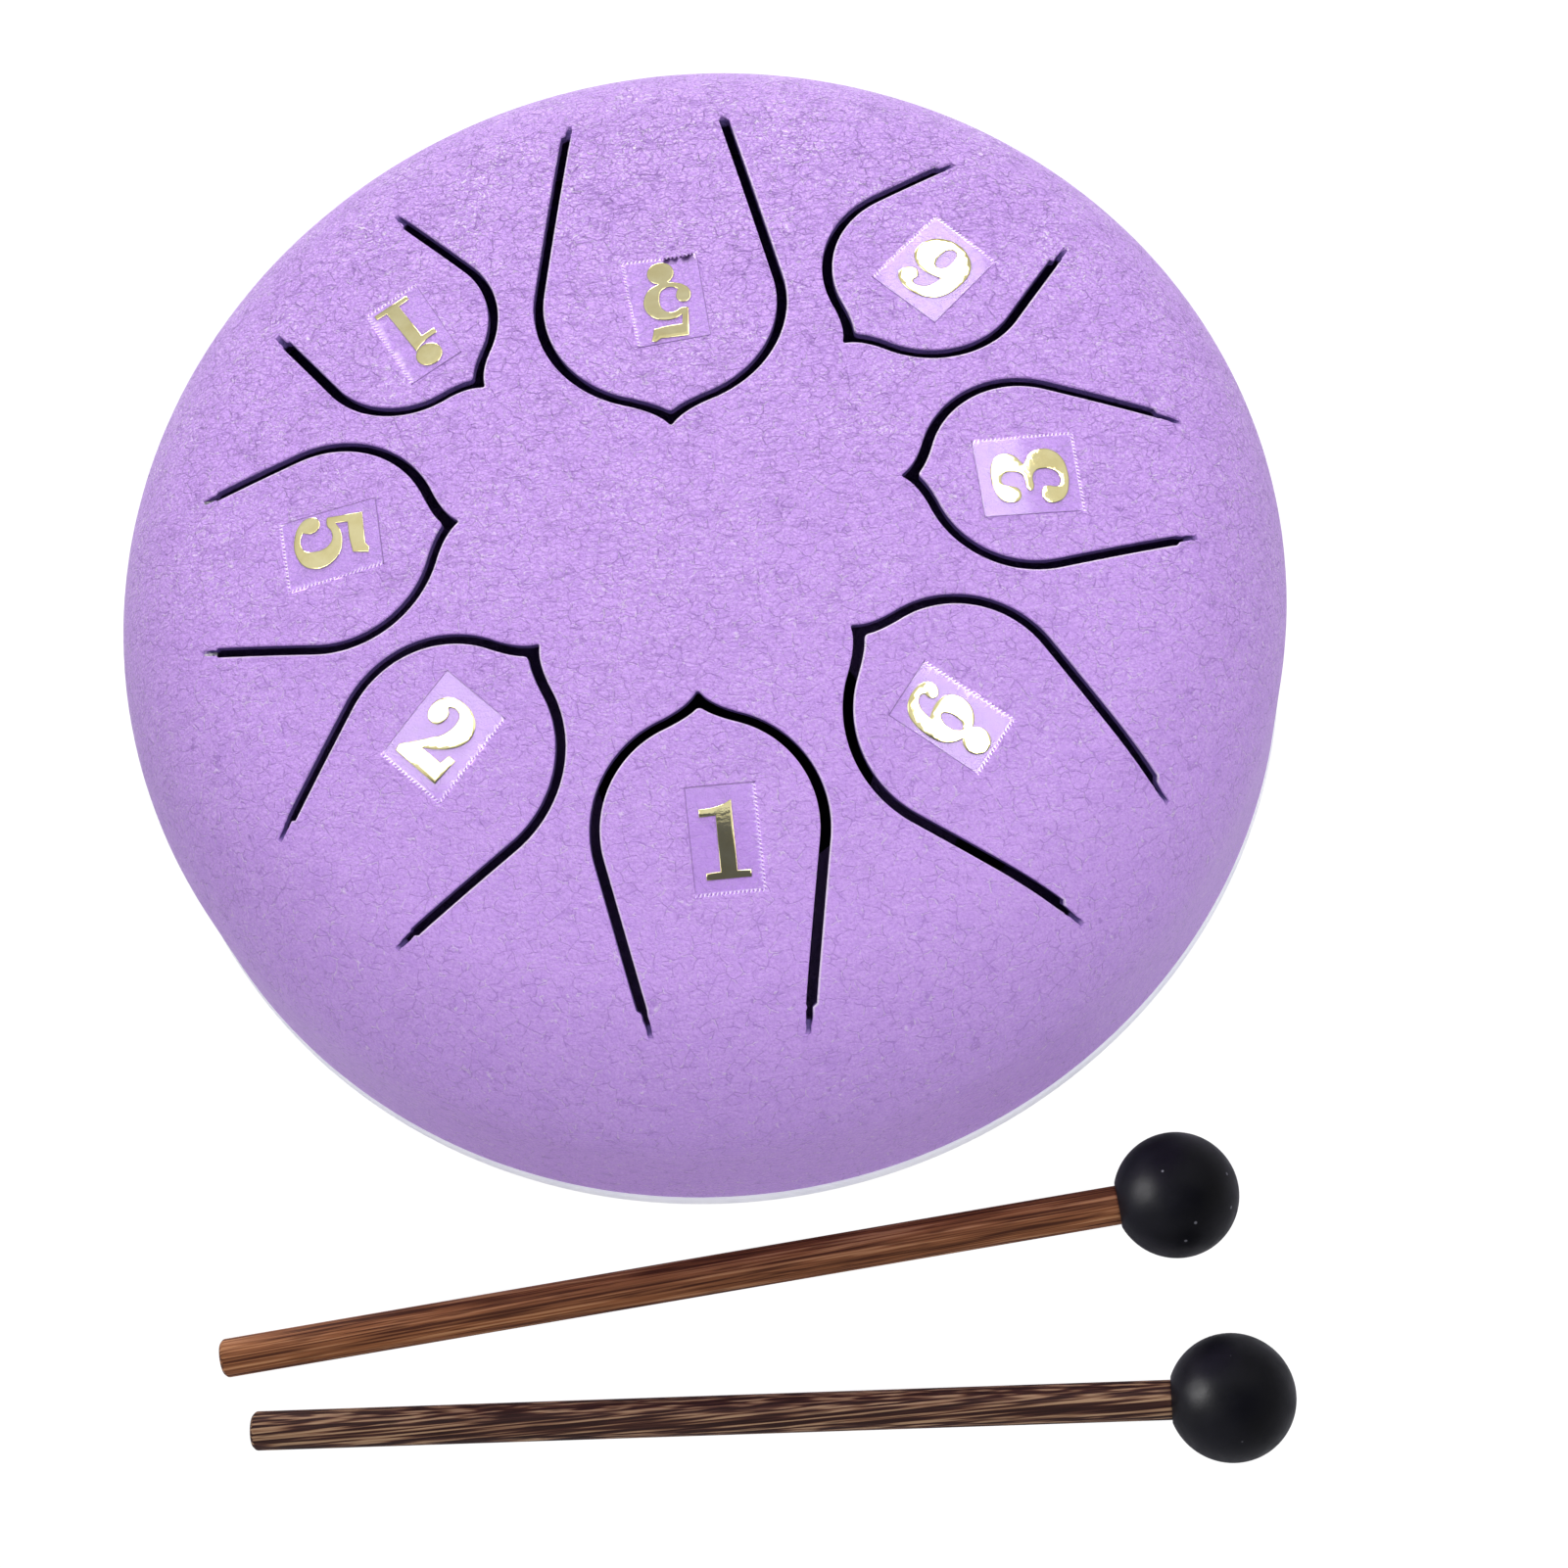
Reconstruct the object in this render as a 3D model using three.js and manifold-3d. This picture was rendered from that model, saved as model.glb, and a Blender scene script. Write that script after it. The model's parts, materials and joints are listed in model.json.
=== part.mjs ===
// Steel tongue drum with a pair of mallets, in millimetres, +Z up, standing on the plane Z = 0.
// Two pressed steel shells nest at a joggled lip with a soft ring between them. Eight tongues are
// slit through the domed upper shell, each carries a clear film for its note, and three push-in
// rubber feet hold the drum up. The mallets lie on the table in front of it.

import * as THREE from 'three';
import { mergeVertices } from 'three/addons/utils/BufferGeometryUtils.js';
import Module from 'manifold-3d';

const wasm = await Module();
wasm.setup();

// Shells
const DRUM_RADIUS = 77.5;
const SHEET = 1.2;
const UPPER_HEIGHT = 48;
const CROWN_RADIUS = 240;
const SHOULDER_RADIUS = 22;
const LOWER_DEPTH = 33;
const LOWER_SHOULDER_RADIUS = 24;
const LOWER_WALL_SLOPE = THREE.MathUtils.degToRad(17);
const LEDGE_WIDTH = 0.9;
const SOUND_HOLE_RADIUS = 21;
const LIP_HEIGHT = 7;
const LIP_CLEARANCE = 0.3;

// Soft ring in the seam
const RING_HEIGHT = 3;
const RING_BULGE = 0.3;

// Push-in feet
const FOOT_COUNT = 3;
const FOOT_CIRCLE_RADIUS = 40;
const FOOT_FIRST_AZIMUTH = 90;
const FOOT_HEIGHT = 5;
const FOOT_BASE_RADIUS = 6.5;
const FOOT_TOP_RADIUS = 7.5;
const FOOT_EDGE = 0.8;
const STEM_RADIUS = 3;
const STEM_CLEARANCE = 0.3;
const BULB_RADIUS = 4.2;
const BULB_TIP_RADIUS = 2;
const BULB_HEIGHT = 4;
const BULB_CLEARANCE = 0.3;

// Tongues: azimuth and taper in degrees, the rest in drum radii. Aside is how far the tongue's own axis
// passes the drum's axis. On its left and right side each tongue has its own width, which is twice the
// distance from that axis. The slit's leg on that side has its own taper, the root where it ends and the
// length of its narrow tuning cut.
const NOTE_LAYOUT = [
  {
    name: 'low_5', azimuth: 89.3, aside: 0.007, tip: 0.152,
    left: { width: 0.425, taper: 8.7, root: 0.793, cut: 0.013 },
    right: { width: 0.394, taper: 11.7, root: 0.778, cut: 0.005 },
  },
  {
    name: '6', azimuth: 41.4, aside: 0.012, tip: 0.408,
    left: { width: 0.352, taper: 13.2, root: 0.803, cut: 0.032 },
    right: { width: 0.329, taper: 13.1, root: 0.804, cut: 0.03 },
  },
  {
    name: '3', azimuth: 0.4, aside: 0.011, tip: 0.374,
    left: { width: 0.333, taper: 17.1, root: 0.833, cut: 0.05 },
    right: { width: 0.34, taper: 10.7, root: 0.832, cut: 0.043 },
  },
  {
    name: 'low_6', azimuth: -41, aside: -0.016, tip: 0.365,
    left: { width: 0.354, taper: 15.7, root: 0.911, cut: 0.055 },
    right: { width: 0.396, taper: 8, root: 0.913, cut: 0.062 },
  },
  {
    name: '1', azimuth: -89.8, aside: 0.001, tip: 0.343,
    left: { width: 0.366, taper: 10.9, root: 0.879, cut: 0.067 },
    right: { width: 0.368, taper: 11, root: 0.863, cut: 0.065 },
  },
  {
    name: '2', azimuth: -137.2, aside: -0.005, tip: 0.343,
    left: { width: 0.393, taper: 9.9, root: 0.838, cut: 0.046 },
    right: { width: 0.369, taper: 14.6, root: 0.833, cut: 0.059 },
  },
  {
    name: '5', azimuth: 180.9, aside: -0.021, tip: 0.378,
    left: { width: 0.363, taper: 11.1, root: 0.814, cut: 0.026 },
    right: { width: 0.367, taper: 14.4, root: 0.803, cut: 0.026 },
  },
  {
    name: 'high_1', azimuth: 135.5, aside: 0.033, tip: 0.417,
    left: { width: 0.304, taper: 9.7, root: 0.787, cut: 0.027 },
    right: { width: 0.326, taper: -3.9, root: 0.782, cut: 0.03 },
  },
];
const legOf = (side) => ({
  endRadius: side.width / 2 * DRUM_RADIUS,
  taper: THREE.MathUtils.degToRad(side.taper),
  root: side.root * DRUM_RADIUS,
  cut: side.cut * DRUM_RADIUS,
});
const NOTES = NOTE_LAYOUT.map((note) => ({
  azimuth: THREE.MathUtils.degToRad(note.azimuth),
  aside: note.aside * DRUM_RADIUS,
  tip: note.tip * DRUM_RADIUS,
  legs: [legOf(note.left), legOf(note.right)],
}));
const SLIT_WIDTH = 1.3;
const TUNING_CUT_WIDTH = 0.8;
const FLANK_SLOPE = THREE.MathUtils.degToRad(20);
const POINT_REACH = 1.2;
const POINT_DROP = 1.2;

// Note films: each one's azimuth in degrees, then its middle along and across that direction, in drum radii
const FILM_LAYOUT = [
  { name: 'low_5', azimuth: 91.5, at: 0.387, aside: -0.013 },
  { name: '6', azimuth: 43.2, at: 0.613, aside: -0.01 },
  { name: '3', azimuth: 1.3, at: 0.57, aside: -0.006 },
  { name: 'low_6', azimuth: -43.7, at: 0.572, aside: -0.018 },
  { name: '1', azimuth: -90, at: 0.575, aside: 0.026 },
  { name: '2', azimuth: -137, at: 0.542, aside: -0.023 },
  { name: '5', azimuth: 178.6, at: 0.583, aside: 0.003 },
  { name: 'high_1', azimuth: 137.8, at: 0.587, aside: 0 },
];
const FILM_LENGTH = 13.5;
const FILM_WIDTH = 10;
const FILM_THICKNESS = 0.15;
const FILM_CLEARANCE = 0.05;

// Mallets: where the ball's centre stands from the drum's axis, in drum radii, and the heading in degrees
const MALLETS = [
  { name: '1', headX: 0.7226, headY: -0.9613, heading: 3.6 },
  { name: '2', headX: 0.7742, headY: -1.3329, heading: -4.1 },
];
const HEAD_RADIUS = 8.7;
const STICK_RADIUS = 2.7;
const STICK_REACH = 135.5;
const BUTT_CHAMFER = 0.5;
const BORE_DEPTH = 11;
const BORE_CLEARANCE = 0.15;
const BORE_END_GAP = 0.3;

// Facets
const SHELL_SEGMENTS = 72;
const CROWN_STEPS = 6;
const SHOULDER_STEPS = 6;
const RING_STEPS = 4;
const SMALL_SEGMENTS = 24;
const BALL_STEPS = 12;
const END_STEPS = 8;
const POINT_STEPS = 5;
const FILM_LENGTH_STEPS = 4;
const FILM_WIDTH_STEPS = 3;

// Solids
const WELD = 1e-4;
const CUT_PAST = 1;

// Heights and radii that follow from the sizes above
const LEDGE_Z = FOOT_HEIGHT + LOWER_DEPTH;
const SEAM_Z = LEDGE_Z + RING_HEIGHT;
const TOP_Z = SEAM_Z + UPPER_HEIGHT;
const LIP_RADIUS = DRUM_RADIUS - SHEET - LIP_CLEARANCE;
const LEDGE_RADIUS = LIP_RADIUS + LEDGE_WIDTH;
const CROWN_CENTRE_Z = TOP_Z - CROWN_RADIUS;
const SHOULDER_CENTRE_R = DRUM_RADIUS - SHOULDER_RADIUS;
const SHOULDER_ANGLE = Math.asin(SHOULDER_CENTRE_R / (CROWN_RADIUS - SHOULDER_RADIUS));
const SHOULDER_CENTRE_Z = CROWN_CENTRE_Z + (CROWN_RADIUS - SHOULDER_RADIUS) * Math.cos(SHOULDER_ANGLE);
const QUARTER_TURN = Math.PI / 2;

const MATERIALS = {
  paint: new THREE.MeshStandardMaterial({ color: 0xcba3ea, roughness: 0.45, metalness: 0.25 }),
  ring: new THREE.MeshStandardMaterial({ color: 0xe2e1eb, roughness: 0.55, metalness: 0 }),
  film: new THREE.MeshStandardMaterial({ color: 0xd9c9a0, roughness: 0.2, metalness: 0.1 }),
  footRubber: new THREE.MeshStandardMaterial({ color: 0x1c1b1d, roughness: 0.85, metalness: 0 }),
  headRubber: new THREE.MeshStandardMaterial({ color: 0x161517, roughness: 0.7, metalness: 0 }),
  reddishWood: new THREE.MeshStandardMaterial({ color: 0x6b3f30, roughness: 0.5, metalness: 0 }),
  darkWood: new THREE.MeshStandardMaterial({ color: 0x4a3428, roughness: 0.5, metalness: 0 }),
};

// Points of a circular arc in a profile. Angles run from the axis direction towards the radial one.
function arc(centre, radius, from, to, steps) {
  return Array.from({ length: steps + 1 }, (_, i) => {
    const angle = THREE.MathUtils.lerp(from, to, i / steps);
    return new THREE.Vector2(centre.x + radius * Math.sin(angle), centre.y + radius * Math.cos(angle));
  });
}

// A profile of (radius, height) points turned about the Z axis
function revolve(profile, segments) {
  return new THREE.LatheGeometry(profile, segments).rotateX(QUARTER_TURN);
}

// A closed geometry as a solid for cutting: shared points merged, collapsed triangles at the axis dropped
function solidOf(geometry) {
  const bare = geometry.clone();
  bare.deleteAttribute('normal');
  bare.deleteAttribute('uv');
  const merged = mergeVertices(bare, WELD);
  const index = Array.from(merged.index.array);
  const triangles = [];
  for (let i = 0; i < index.length; i += 3) {
    const [a, b, c] = index.slice(i, i + 3);
    if (a !== b && b !== c && c !== a) {
      triangles.push(a, b, c);
    }
  }
  const vertProperties = Float32Array.from(merged.attributes.position.array);
  const mesh = new wasm.Mesh({ numProp: 3, vertProperties, triVerts: Uint32Array.from(triangles) });
  return new wasm.Manifold(mesh);
}

// The first geometry less all the cutters
function cut(geometry, cutters) {
  const result = cutters.reduce((solid, cutter) => solid.subtract(solidOf(cutter)), solidOf(geometry));
  const mesh = result.getMesh();
  const geometryOut = new THREE.BufferGeometry();
  geometryOut.setAttribute('position', new THREE.BufferAttribute(mesh.vertProperties, mesh.numProp));
  geometryOut.setIndex(new THREE.BufferAttribute(mesh.triVerts, 1));
  geometryOut.computeVertexNormals();
  return geometryOut;
}

function named(name, geometry, material) {
  const mesh = new THREE.Mesh(geometry, material);
  mesh.name = name;
  return mesh;
}

// Upper shell

// The dome from its apex to its rim: crown arc, shoulder arc and straight wall, moved in by the inset
function domeProfile(inset) {
  const crownCentre = new THREE.Vector2(0, CROWN_CENTRE_Z);
  const shoulderCentre = new THREE.Vector2(SHOULDER_CENTRE_R, SHOULDER_CENTRE_Z);
  const crown = arc(crownCentre, CROWN_RADIUS - inset, 0, SHOULDER_ANGLE, CROWN_STEPS);
  const shoulder = arc(
    shoulderCentre, SHOULDER_RADIUS - inset, SHOULDER_ANGLE, QUARTER_TURN, SHOULDER_STEPS,
  );
  return [...crown, ...shoulder.slice(1), new THREE.Vector2(DRUM_RADIUS - inset, SEAM_Z)];
}

// Height of the dome's outer face at a distance from the axis
function domeHeight(distance) {
  const onCrown = distance <= CROWN_RADIUS * Math.sin(SHOULDER_ANGLE);
  const centreR = onCrown ? 0 : SHOULDER_CENTRE_R;
  const centreZ = onCrown ? CROWN_CENTRE_Z : SHOULDER_CENTRE_Z;
  const radius = onCrown ? CROWN_RADIUS : SHOULDER_RADIUS;
  return centreZ + Math.sqrt(radius ** 2 - (distance - centreR) ** 2);
}

// One side of a slit's edge, from the tongue's point round its end to the start of the straight leg.
// X runs outwards along the tongue and Y across it. The offset moves the edge from the slit's middle line.
function slitEdge(note, leg, offset) {
  const flankAngle = QUARTER_TURN - FLANK_SLOPE;
  const endRadius = leg.endRadius;
  const centreX = note.tip + POINT_DROP + endRadius / Math.cos(FLANK_SLOPE);
  const onEnd = (angle) => new THREE.Vector2(
    centreX - (endRadius + offset) * Math.sin(angle), (endRadius + offset) * Math.cos(angle),
  );

  const flankStart = onEnd(flankAngle);
  const flankRise = Math.tan(FLANK_SLOPE);
  const bend = new THREE.Vector2(flankStart.x - (flankStart.y - POINT_REACH) * flankRise, POINT_REACH);
  const pointHalfAngle = Math.atan2(POINT_REACH, POINT_DROP + POINT_REACH * flankRise);
  const point = new THREE.Vector2(note.tip - offset / Math.sin(pointHalfAngle), 0);
  const ogee = new THREE.QuadraticBezierCurve(point, bend, flankStart).getPoints(POINT_STEPS);

  const roundEnd = Array.from({ length: END_STEPS }, (_, i) => (
    onEnd(THREE.MathUtils.lerp(flankAngle, -leg.taper, (i + 1) / END_STEPS))
  ));
  return [...ogee, ...roundEnd];
}

// Where a slit's edge is when its straight leg has come out to a distance along the tongue
function legPoint(note, leg, offset, distance) {
  const start = slitEdge(note, leg, offset).at(-1);
  return new THREE.Vector2(distance, start.y - (distance - start.x) * Math.tan(leg.taper));
}

// A slit's outer or inner edge on one leg, down to the end of the narrow tuning cut
function slitSide(note, leg, sign) {
  const wide = sign * SLIT_WIDTH / 2;
  const narrow = sign * TUNING_CUT_WIDTH / 2;
  const step = leg.root - leg.cut;
  return [
    ...slitEdge(note, leg, wide),
    legPoint(note, leg, wide, step),
    legPoint(note, leg, narrow, step),
    legPoint(note, leg, narrow, leg.root),
  ];
}

function slitCutter(note) {
  const mirror = (points) => points.map((p) => new THREE.Vector2(p.x, -p.y));
  const [outerLeft, outerRight] = note.legs.map((leg) => slitSide(note, leg, 1));
  const [innerLeft, innerRight] = note.legs.map((leg) => slitSide(note, leg, -1));
  const outline = new THREE.Shape([
    ...outerLeft.reverse(),
    ...mirror(outerRight.slice(1)),
    ...mirror(innerRight).reverse(),
    ...innerLeft.slice(1),
  ]);
  const depth = TOP_Z + CUT_PAST - SHOULDER_CENTRE_Z;
  const cutter = new THREE.ExtrudeGeometry(outline, { depth, bevelEnabled: false });
  return cutter.translate(0, note.aside, SHOULDER_CENTRE_Z).rotateZ(note.azimuth);
}

function upperShell() {
  const profile = [...domeProfile(SHEET), ...domeProfile(0).reverse()];
  const shell = cut(revolve(profile, SHELL_SEGMENTS), NOTES.map(slitCutter));
  return named('upper_shell', shell, MATERIALS.paint);
}

// A clear film bent over its tongue
function noteFilm(place) {
  const film = new THREE.BoxGeometry(
    FILM_LENGTH, FILM_WIDTH, FILM_THICKNESS, FILM_LENGTH_STEPS, FILM_WIDTH_STEPS, 1,
  );
  film.translate(place.at * DRUM_RADIUS, place.aside * DRUM_RADIUS, FILM_THICKNESS / 2 + FILM_CLEARANCE);
  film.rotateZ(THREE.MathUtils.degToRad(place.azimuth));
  const position = film.attributes.position;
  for (let i = 0; i < position.count; i++) {
    const distance = Math.hypot(position.getX(i), position.getY(i));
    position.setZ(i, position.getZ(i) + domeHeight(distance));
  }
  film.computeVertexNormals();
  return named(`note_film_${place.name}`, film, MATERIALS.film);
}

// Lower shell, ring and feet

function footAzimuths() {
  return Array.from({ length: FOOT_COUNT }, (_, i) => (
    THREE.MathUtils.degToRad(FOOT_FIRST_AZIMUTH + i * 360 / FOOT_COUNT)
  ));
}

function footPlace(azimuth) {
  return new THREE.Vector3(
    FOOT_CIRCLE_RADIUS * Math.cos(azimuth), FOOT_CIRCLE_RADIUS * Math.sin(azimuth), 0,
  );
}

// The lower shell's bowl between floor and ledge: a shoulder arc that runs into the sloping wall
function bowlArc(inset) {
  const centreZ = FOOT_HEIGHT + LOWER_SHOULDER_RADIUS;
  const fall = (LEDGE_Z - centreZ) * Math.sin(LOWER_WALL_SLOPE) + LOWER_SHOULDER_RADIUS;
  const centre = new THREE.Vector2(LEDGE_RADIUS - fall / Math.cos(LOWER_WALL_SLOPE), centreZ);
  return arc(
    centre, LOWER_SHOULDER_RADIUS - inset, Math.PI, QUARTER_TURN + LOWER_WALL_SLOPE, SHOULDER_STEPS,
  );
}

function lowerShell() {
  const base = FOOT_HEIGHT;
  const lipTop = SEAM_Z + LIP_HEIGHT;
  const wallInside = SHEET * (1 + Math.sin(LOWER_WALL_SLOPE)) / Math.cos(LOWER_WALL_SLOPE);
  const profile = [
    new THREE.Vector2(SOUND_HOLE_RADIUS, base),
    ...bowlArc(0),
    new THREE.Vector2(LEDGE_RADIUS, LEDGE_Z),
    new THREE.Vector2(LIP_RADIUS, LEDGE_Z),
    new THREE.Vector2(LIP_RADIUS, lipTop),
    new THREE.Vector2(LIP_RADIUS - SHEET, lipTop),
    new THREE.Vector2(LIP_RADIUS - SHEET, LEDGE_Z - SHEET),
    new THREE.Vector2(LEDGE_RADIUS - wallInside, LEDGE_Z - SHEET),
    ...bowlArc(SHEET).reverse(),
    new THREE.Vector2(SOUND_HOLE_RADIUS, base + SHEET),
    new THREE.Vector2(SOUND_HOLE_RADIUS, base),
  ];
  const holes = footAzimuths().map((azimuth) => {
    const place = footPlace(azimuth);
    const radius = STEM_RADIUS + STEM_CLEARANCE;
    const hole = new THREE.CylinderGeometry(radius, radius, SHEET + 2 * CUT_PAST, SMALL_SEGMENTS);
    return hole.rotateX(QUARTER_TURN).translate(place.x, place.y, base + SHEET / 2);
  });
  return named('lower_shell', cut(revolve(profile, SHELL_SEGMENTS), holes), MATERIALS.paint);
}

function seamRing() {
  const inside = LIP_RADIUS + LIP_CLEARANCE;
  const bulge = Array.from({ length: RING_STEPS + 1 }, (_, i) => {
    const share = i / RING_STEPS;
    return new THREE.Vector2(
      DRUM_RADIUS + RING_BULGE * Math.sin(Math.PI * share), LEDGE_Z + RING_HEIGHT * share,
    );
  });
  const profile = [
    new THREE.Vector2(inside, LEDGE_Z),
    ...bulge,
    new THREE.Vector2(inside, SEAM_Z),
    new THREE.Vector2(inside, LEDGE_Z),
  ];
  return named('seam_ring', revolve(profile, SHELL_SEGMENTS), MATERIALS.ring);
}

function foot(azimuth, number) {
  const bulbZ = FOOT_HEIGHT + SHEET + BULB_CLEARANCE;
  const profile = [
    new THREE.Vector2(0, 0),
    new THREE.Vector2(FOOT_BASE_RADIUS - FOOT_EDGE, 0),
    new THREE.Vector2(FOOT_BASE_RADIUS, FOOT_EDGE),
    new THREE.Vector2(FOOT_TOP_RADIUS, FOOT_HEIGHT),
    new THREE.Vector2(STEM_RADIUS, FOOT_HEIGHT),
    new THREE.Vector2(STEM_RADIUS, bulbZ),
    new THREE.Vector2(BULB_RADIUS, bulbZ),
    new THREE.Vector2(BULB_TIP_RADIUS, bulbZ + BULB_HEIGHT),
    new THREE.Vector2(0, bulbZ + BULB_HEIGHT),
  ];
  const mesh = named(`foot_${number}`, revolve(profile, SMALL_SEGMENTS), MATERIALS.footRubber);
  mesh.position.copy(footPlace(azimuth));
  return mesh;
}

// Mallets, each along its own Z axis with the ball's centre at the origin

function malletHead(name) {
  const bore = STICK_RADIUS + BORE_CLEARANCE;
  const mouthZ = -Math.sqrt(HEAD_RADIUS ** 2 - bore ** 2);
  const mouthAngle = Math.PI - Math.asin(bore / HEAD_RADIUS);
  const profile = [
    new THREE.Vector2(0, mouthZ + BORE_DEPTH),
    new THREE.Vector2(bore, mouthZ + BORE_DEPTH),
    ...arc(new THREE.Vector2(0, 0), HEAD_RADIUS, mouthAngle, 0, BALL_STEPS),
  ];
  return named(`mallet_head_${name}`, revolve(profile, SMALL_SEGMENTS), MATERIALS.headRubber);
}

function malletStick(name, material) {
  const boreEndZ = BORE_DEPTH - Math.sqrt(HEAD_RADIUS ** 2 - (STICK_RADIUS + BORE_CLEARANCE) ** 2);
  const endZ = boreEndZ - BORE_END_GAP;
  const profile = [
    new THREE.Vector2(0, -STICK_REACH),
    new THREE.Vector2(STICK_RADIUS - BUTT_CHAMFER, -STICK_REACH),
    new THREE.Vector2(STICK_RADIUS, BUTT_CHAMFER - STICK_REACH),
    new THREE.Vector2(STICK_RADIUS, endZ),
    new THREE.Vector2(0, endZ),
  ];
  return named(`mallet_stick_${name}`, revolve(profile, SMALL_SEGMENTS), material);
}

// A mallet lies with its ball and the lower edge of its butt on the table
function mallet(place, wood) {
  const rise = Math.asin((HEAD_RADIUS - STICK_RADIUS) / (STICK_REACH - BUTT_CHAMFER));
  const heading = THREE.MathUtils.degToRad(place.heading);
  const towardsHead = new THREE.Vector3(
    Math.cos(rise) * Math.cos(heading), Math.cos(rise) * Math.sin(heading), Math.sin(rise),
  );
  const group = new THREE.Group();
  group.add(malletStick(place.name, wood), malletHead(place.name));
  group.position.set(place.headX * DRUM_RADIUS, place.headY * DRUM_RADIUS, HEAD_RADIUS);
  group.quaternion.setFromUnitVectors(new THREE.Vector3(0, 0, 1), towardsHead);
  return group;
}

// The whole set, with its origin under the middle of its box

const drumSet = new THREE.Group();
drumSet.add(upperShell(), lowerShell(), seamRing());
drumSet.add(...footAzimuths().map((azimuth, i) => foot(azimuth, i + 1)));
drumSet.add(...FILM_LAYOUT.map(noteFilm));
drumSet.add(mallet(MALLETS[0], MATERIALS.reddishWood), mallet(MALLETS[1], MATERIALS.darkWood));

const middle = new THREE.Box3().setFromObject(drumSet, true).getCenter(new THREE.Vector3());
drumSet.position.set(-middle.x, -middle.y, 0);

export default drumSet;
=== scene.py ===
# %% [markdown]
# # A small steel tongue drum with its two mallets
#
# The drum is two pressed steel shells that nest in each other, with a soft ring in the seam. They are sprayed lilac
# with a fine leather grain. Eight tongues are slit through the upper shell, and a clear film on each one carries its
# note as a numeral in gold foil. Two wooden mallets with rubber balls lie in front.
#
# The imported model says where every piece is. This script keeps those places and makes each piece as it is seen: the
# sheet with its rolled paint edges, the films with their pinked edges, the foil, the wood and the rubber. Sizes are in
# millimetres until a mesh is made, because that is how a maker reads them, and Blender's own unit is the metre.

import json
import math

import bpy
import numpy as np
from mathutils import Matrix, Vector
from mathutils.geometry import delaunay_2d_cdt
from mathutils.kdtree import KDTree

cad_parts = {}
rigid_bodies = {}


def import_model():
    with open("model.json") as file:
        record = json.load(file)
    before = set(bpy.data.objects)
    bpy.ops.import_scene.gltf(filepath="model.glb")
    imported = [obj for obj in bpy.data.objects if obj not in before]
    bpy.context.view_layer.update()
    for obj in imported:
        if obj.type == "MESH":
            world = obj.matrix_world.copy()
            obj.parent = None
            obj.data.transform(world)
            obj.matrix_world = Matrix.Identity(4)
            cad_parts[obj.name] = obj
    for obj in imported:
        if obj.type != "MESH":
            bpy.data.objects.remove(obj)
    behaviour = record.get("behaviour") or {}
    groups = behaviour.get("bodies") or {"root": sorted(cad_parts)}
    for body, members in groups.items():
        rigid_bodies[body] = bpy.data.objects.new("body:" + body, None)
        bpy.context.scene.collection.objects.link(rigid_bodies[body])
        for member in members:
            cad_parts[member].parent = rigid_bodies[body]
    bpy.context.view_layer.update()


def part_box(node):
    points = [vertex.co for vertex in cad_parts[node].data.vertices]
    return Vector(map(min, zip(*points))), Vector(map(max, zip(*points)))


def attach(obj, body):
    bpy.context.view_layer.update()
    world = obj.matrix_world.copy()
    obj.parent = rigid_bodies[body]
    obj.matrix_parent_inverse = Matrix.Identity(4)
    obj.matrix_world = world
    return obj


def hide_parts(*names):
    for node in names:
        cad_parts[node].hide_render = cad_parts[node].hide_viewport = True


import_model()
scene = bpy.context.scene
scene.view_settings.view_transform = "Standard"
MM = 0.001

shell_low, shell_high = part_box("upper_shell")
DRUM_X = (shell_low.x + shell_high.x) / 2 / MM
DRUM_Y = (shell_low.y + shell_high.y) / 2 / MM
SEAM_Z = shell_low.z / MM
TOP_Z = shell_high.z / MM
print(f"drum's axis at {DRUM_X:.2f}, {DRUM_Y:.2f} mm, seam at {SEAM_Z:.1f}, top at {TOP_Z:.1f}")

# %% [markdown]
# ## Camera
#
# The picture was taken from high up in front of the drum, with the camera a little rolled. A camera could be aimed by
# a Track To constraint, but that leaves no roll and always centres its target. Here it starts above the drum's middle
# at the measured azimuth and elevation, and then turns by small amounts about its own axes.

# %% Camera
CAMERA_DISTANCE = 488.35
CAMERA_AZIMUTH = 7.056
CAMERA_ELEVATION = 65.653
CAMERA_PAN = -0.6586
CAMERA_TILT = -2.3169
CAMERA_ROLL = 12.379
FRAME_PIXELS = 1601
FOCAL_PIXELS = 3596.67
SENSOR_WIDTH = 36.0


def turn(degrees, axis):
    return Matrix.Rotation(math.radians(degrees), 4, axis)


camera_data = bpy.data.cameras.new("camera")
camera_data.sensor_width = SENSOR_WIDTH
camera_data.lens = FOCAL_PIXELS / FRAME_PIXELS * SENSOR_WIDTH
camera_data.clip_start = 0.01
camera = bpy.data.objects.new("camera", camera_data)
scene.collection.objects.link(camera)
aim = turn(CAMERA_AZIMUTH, "Z") @ turn(90 - CAMERA_ELEVATION, "X")
drum_middle = Vector((DRUM_X, DRUM_Y, SEAM_Z)) * MM
place = Matrix.Translation(drum_middle + aim @ Vector((0, 0, CAMERA_DISTANCE * MM)))
camera.matrix_world = place @ aim @ turn(CAMERA_PAN, "Y") @ turn(CAMERA_TILT, "X") @ turn(-CAMERA_ROLL, "Z")
scene.camera = camera
print("camera at", [round(v, 4) for v in camera.matrix_world.translation], "lens", round(camera_data.lens, 2))
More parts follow.
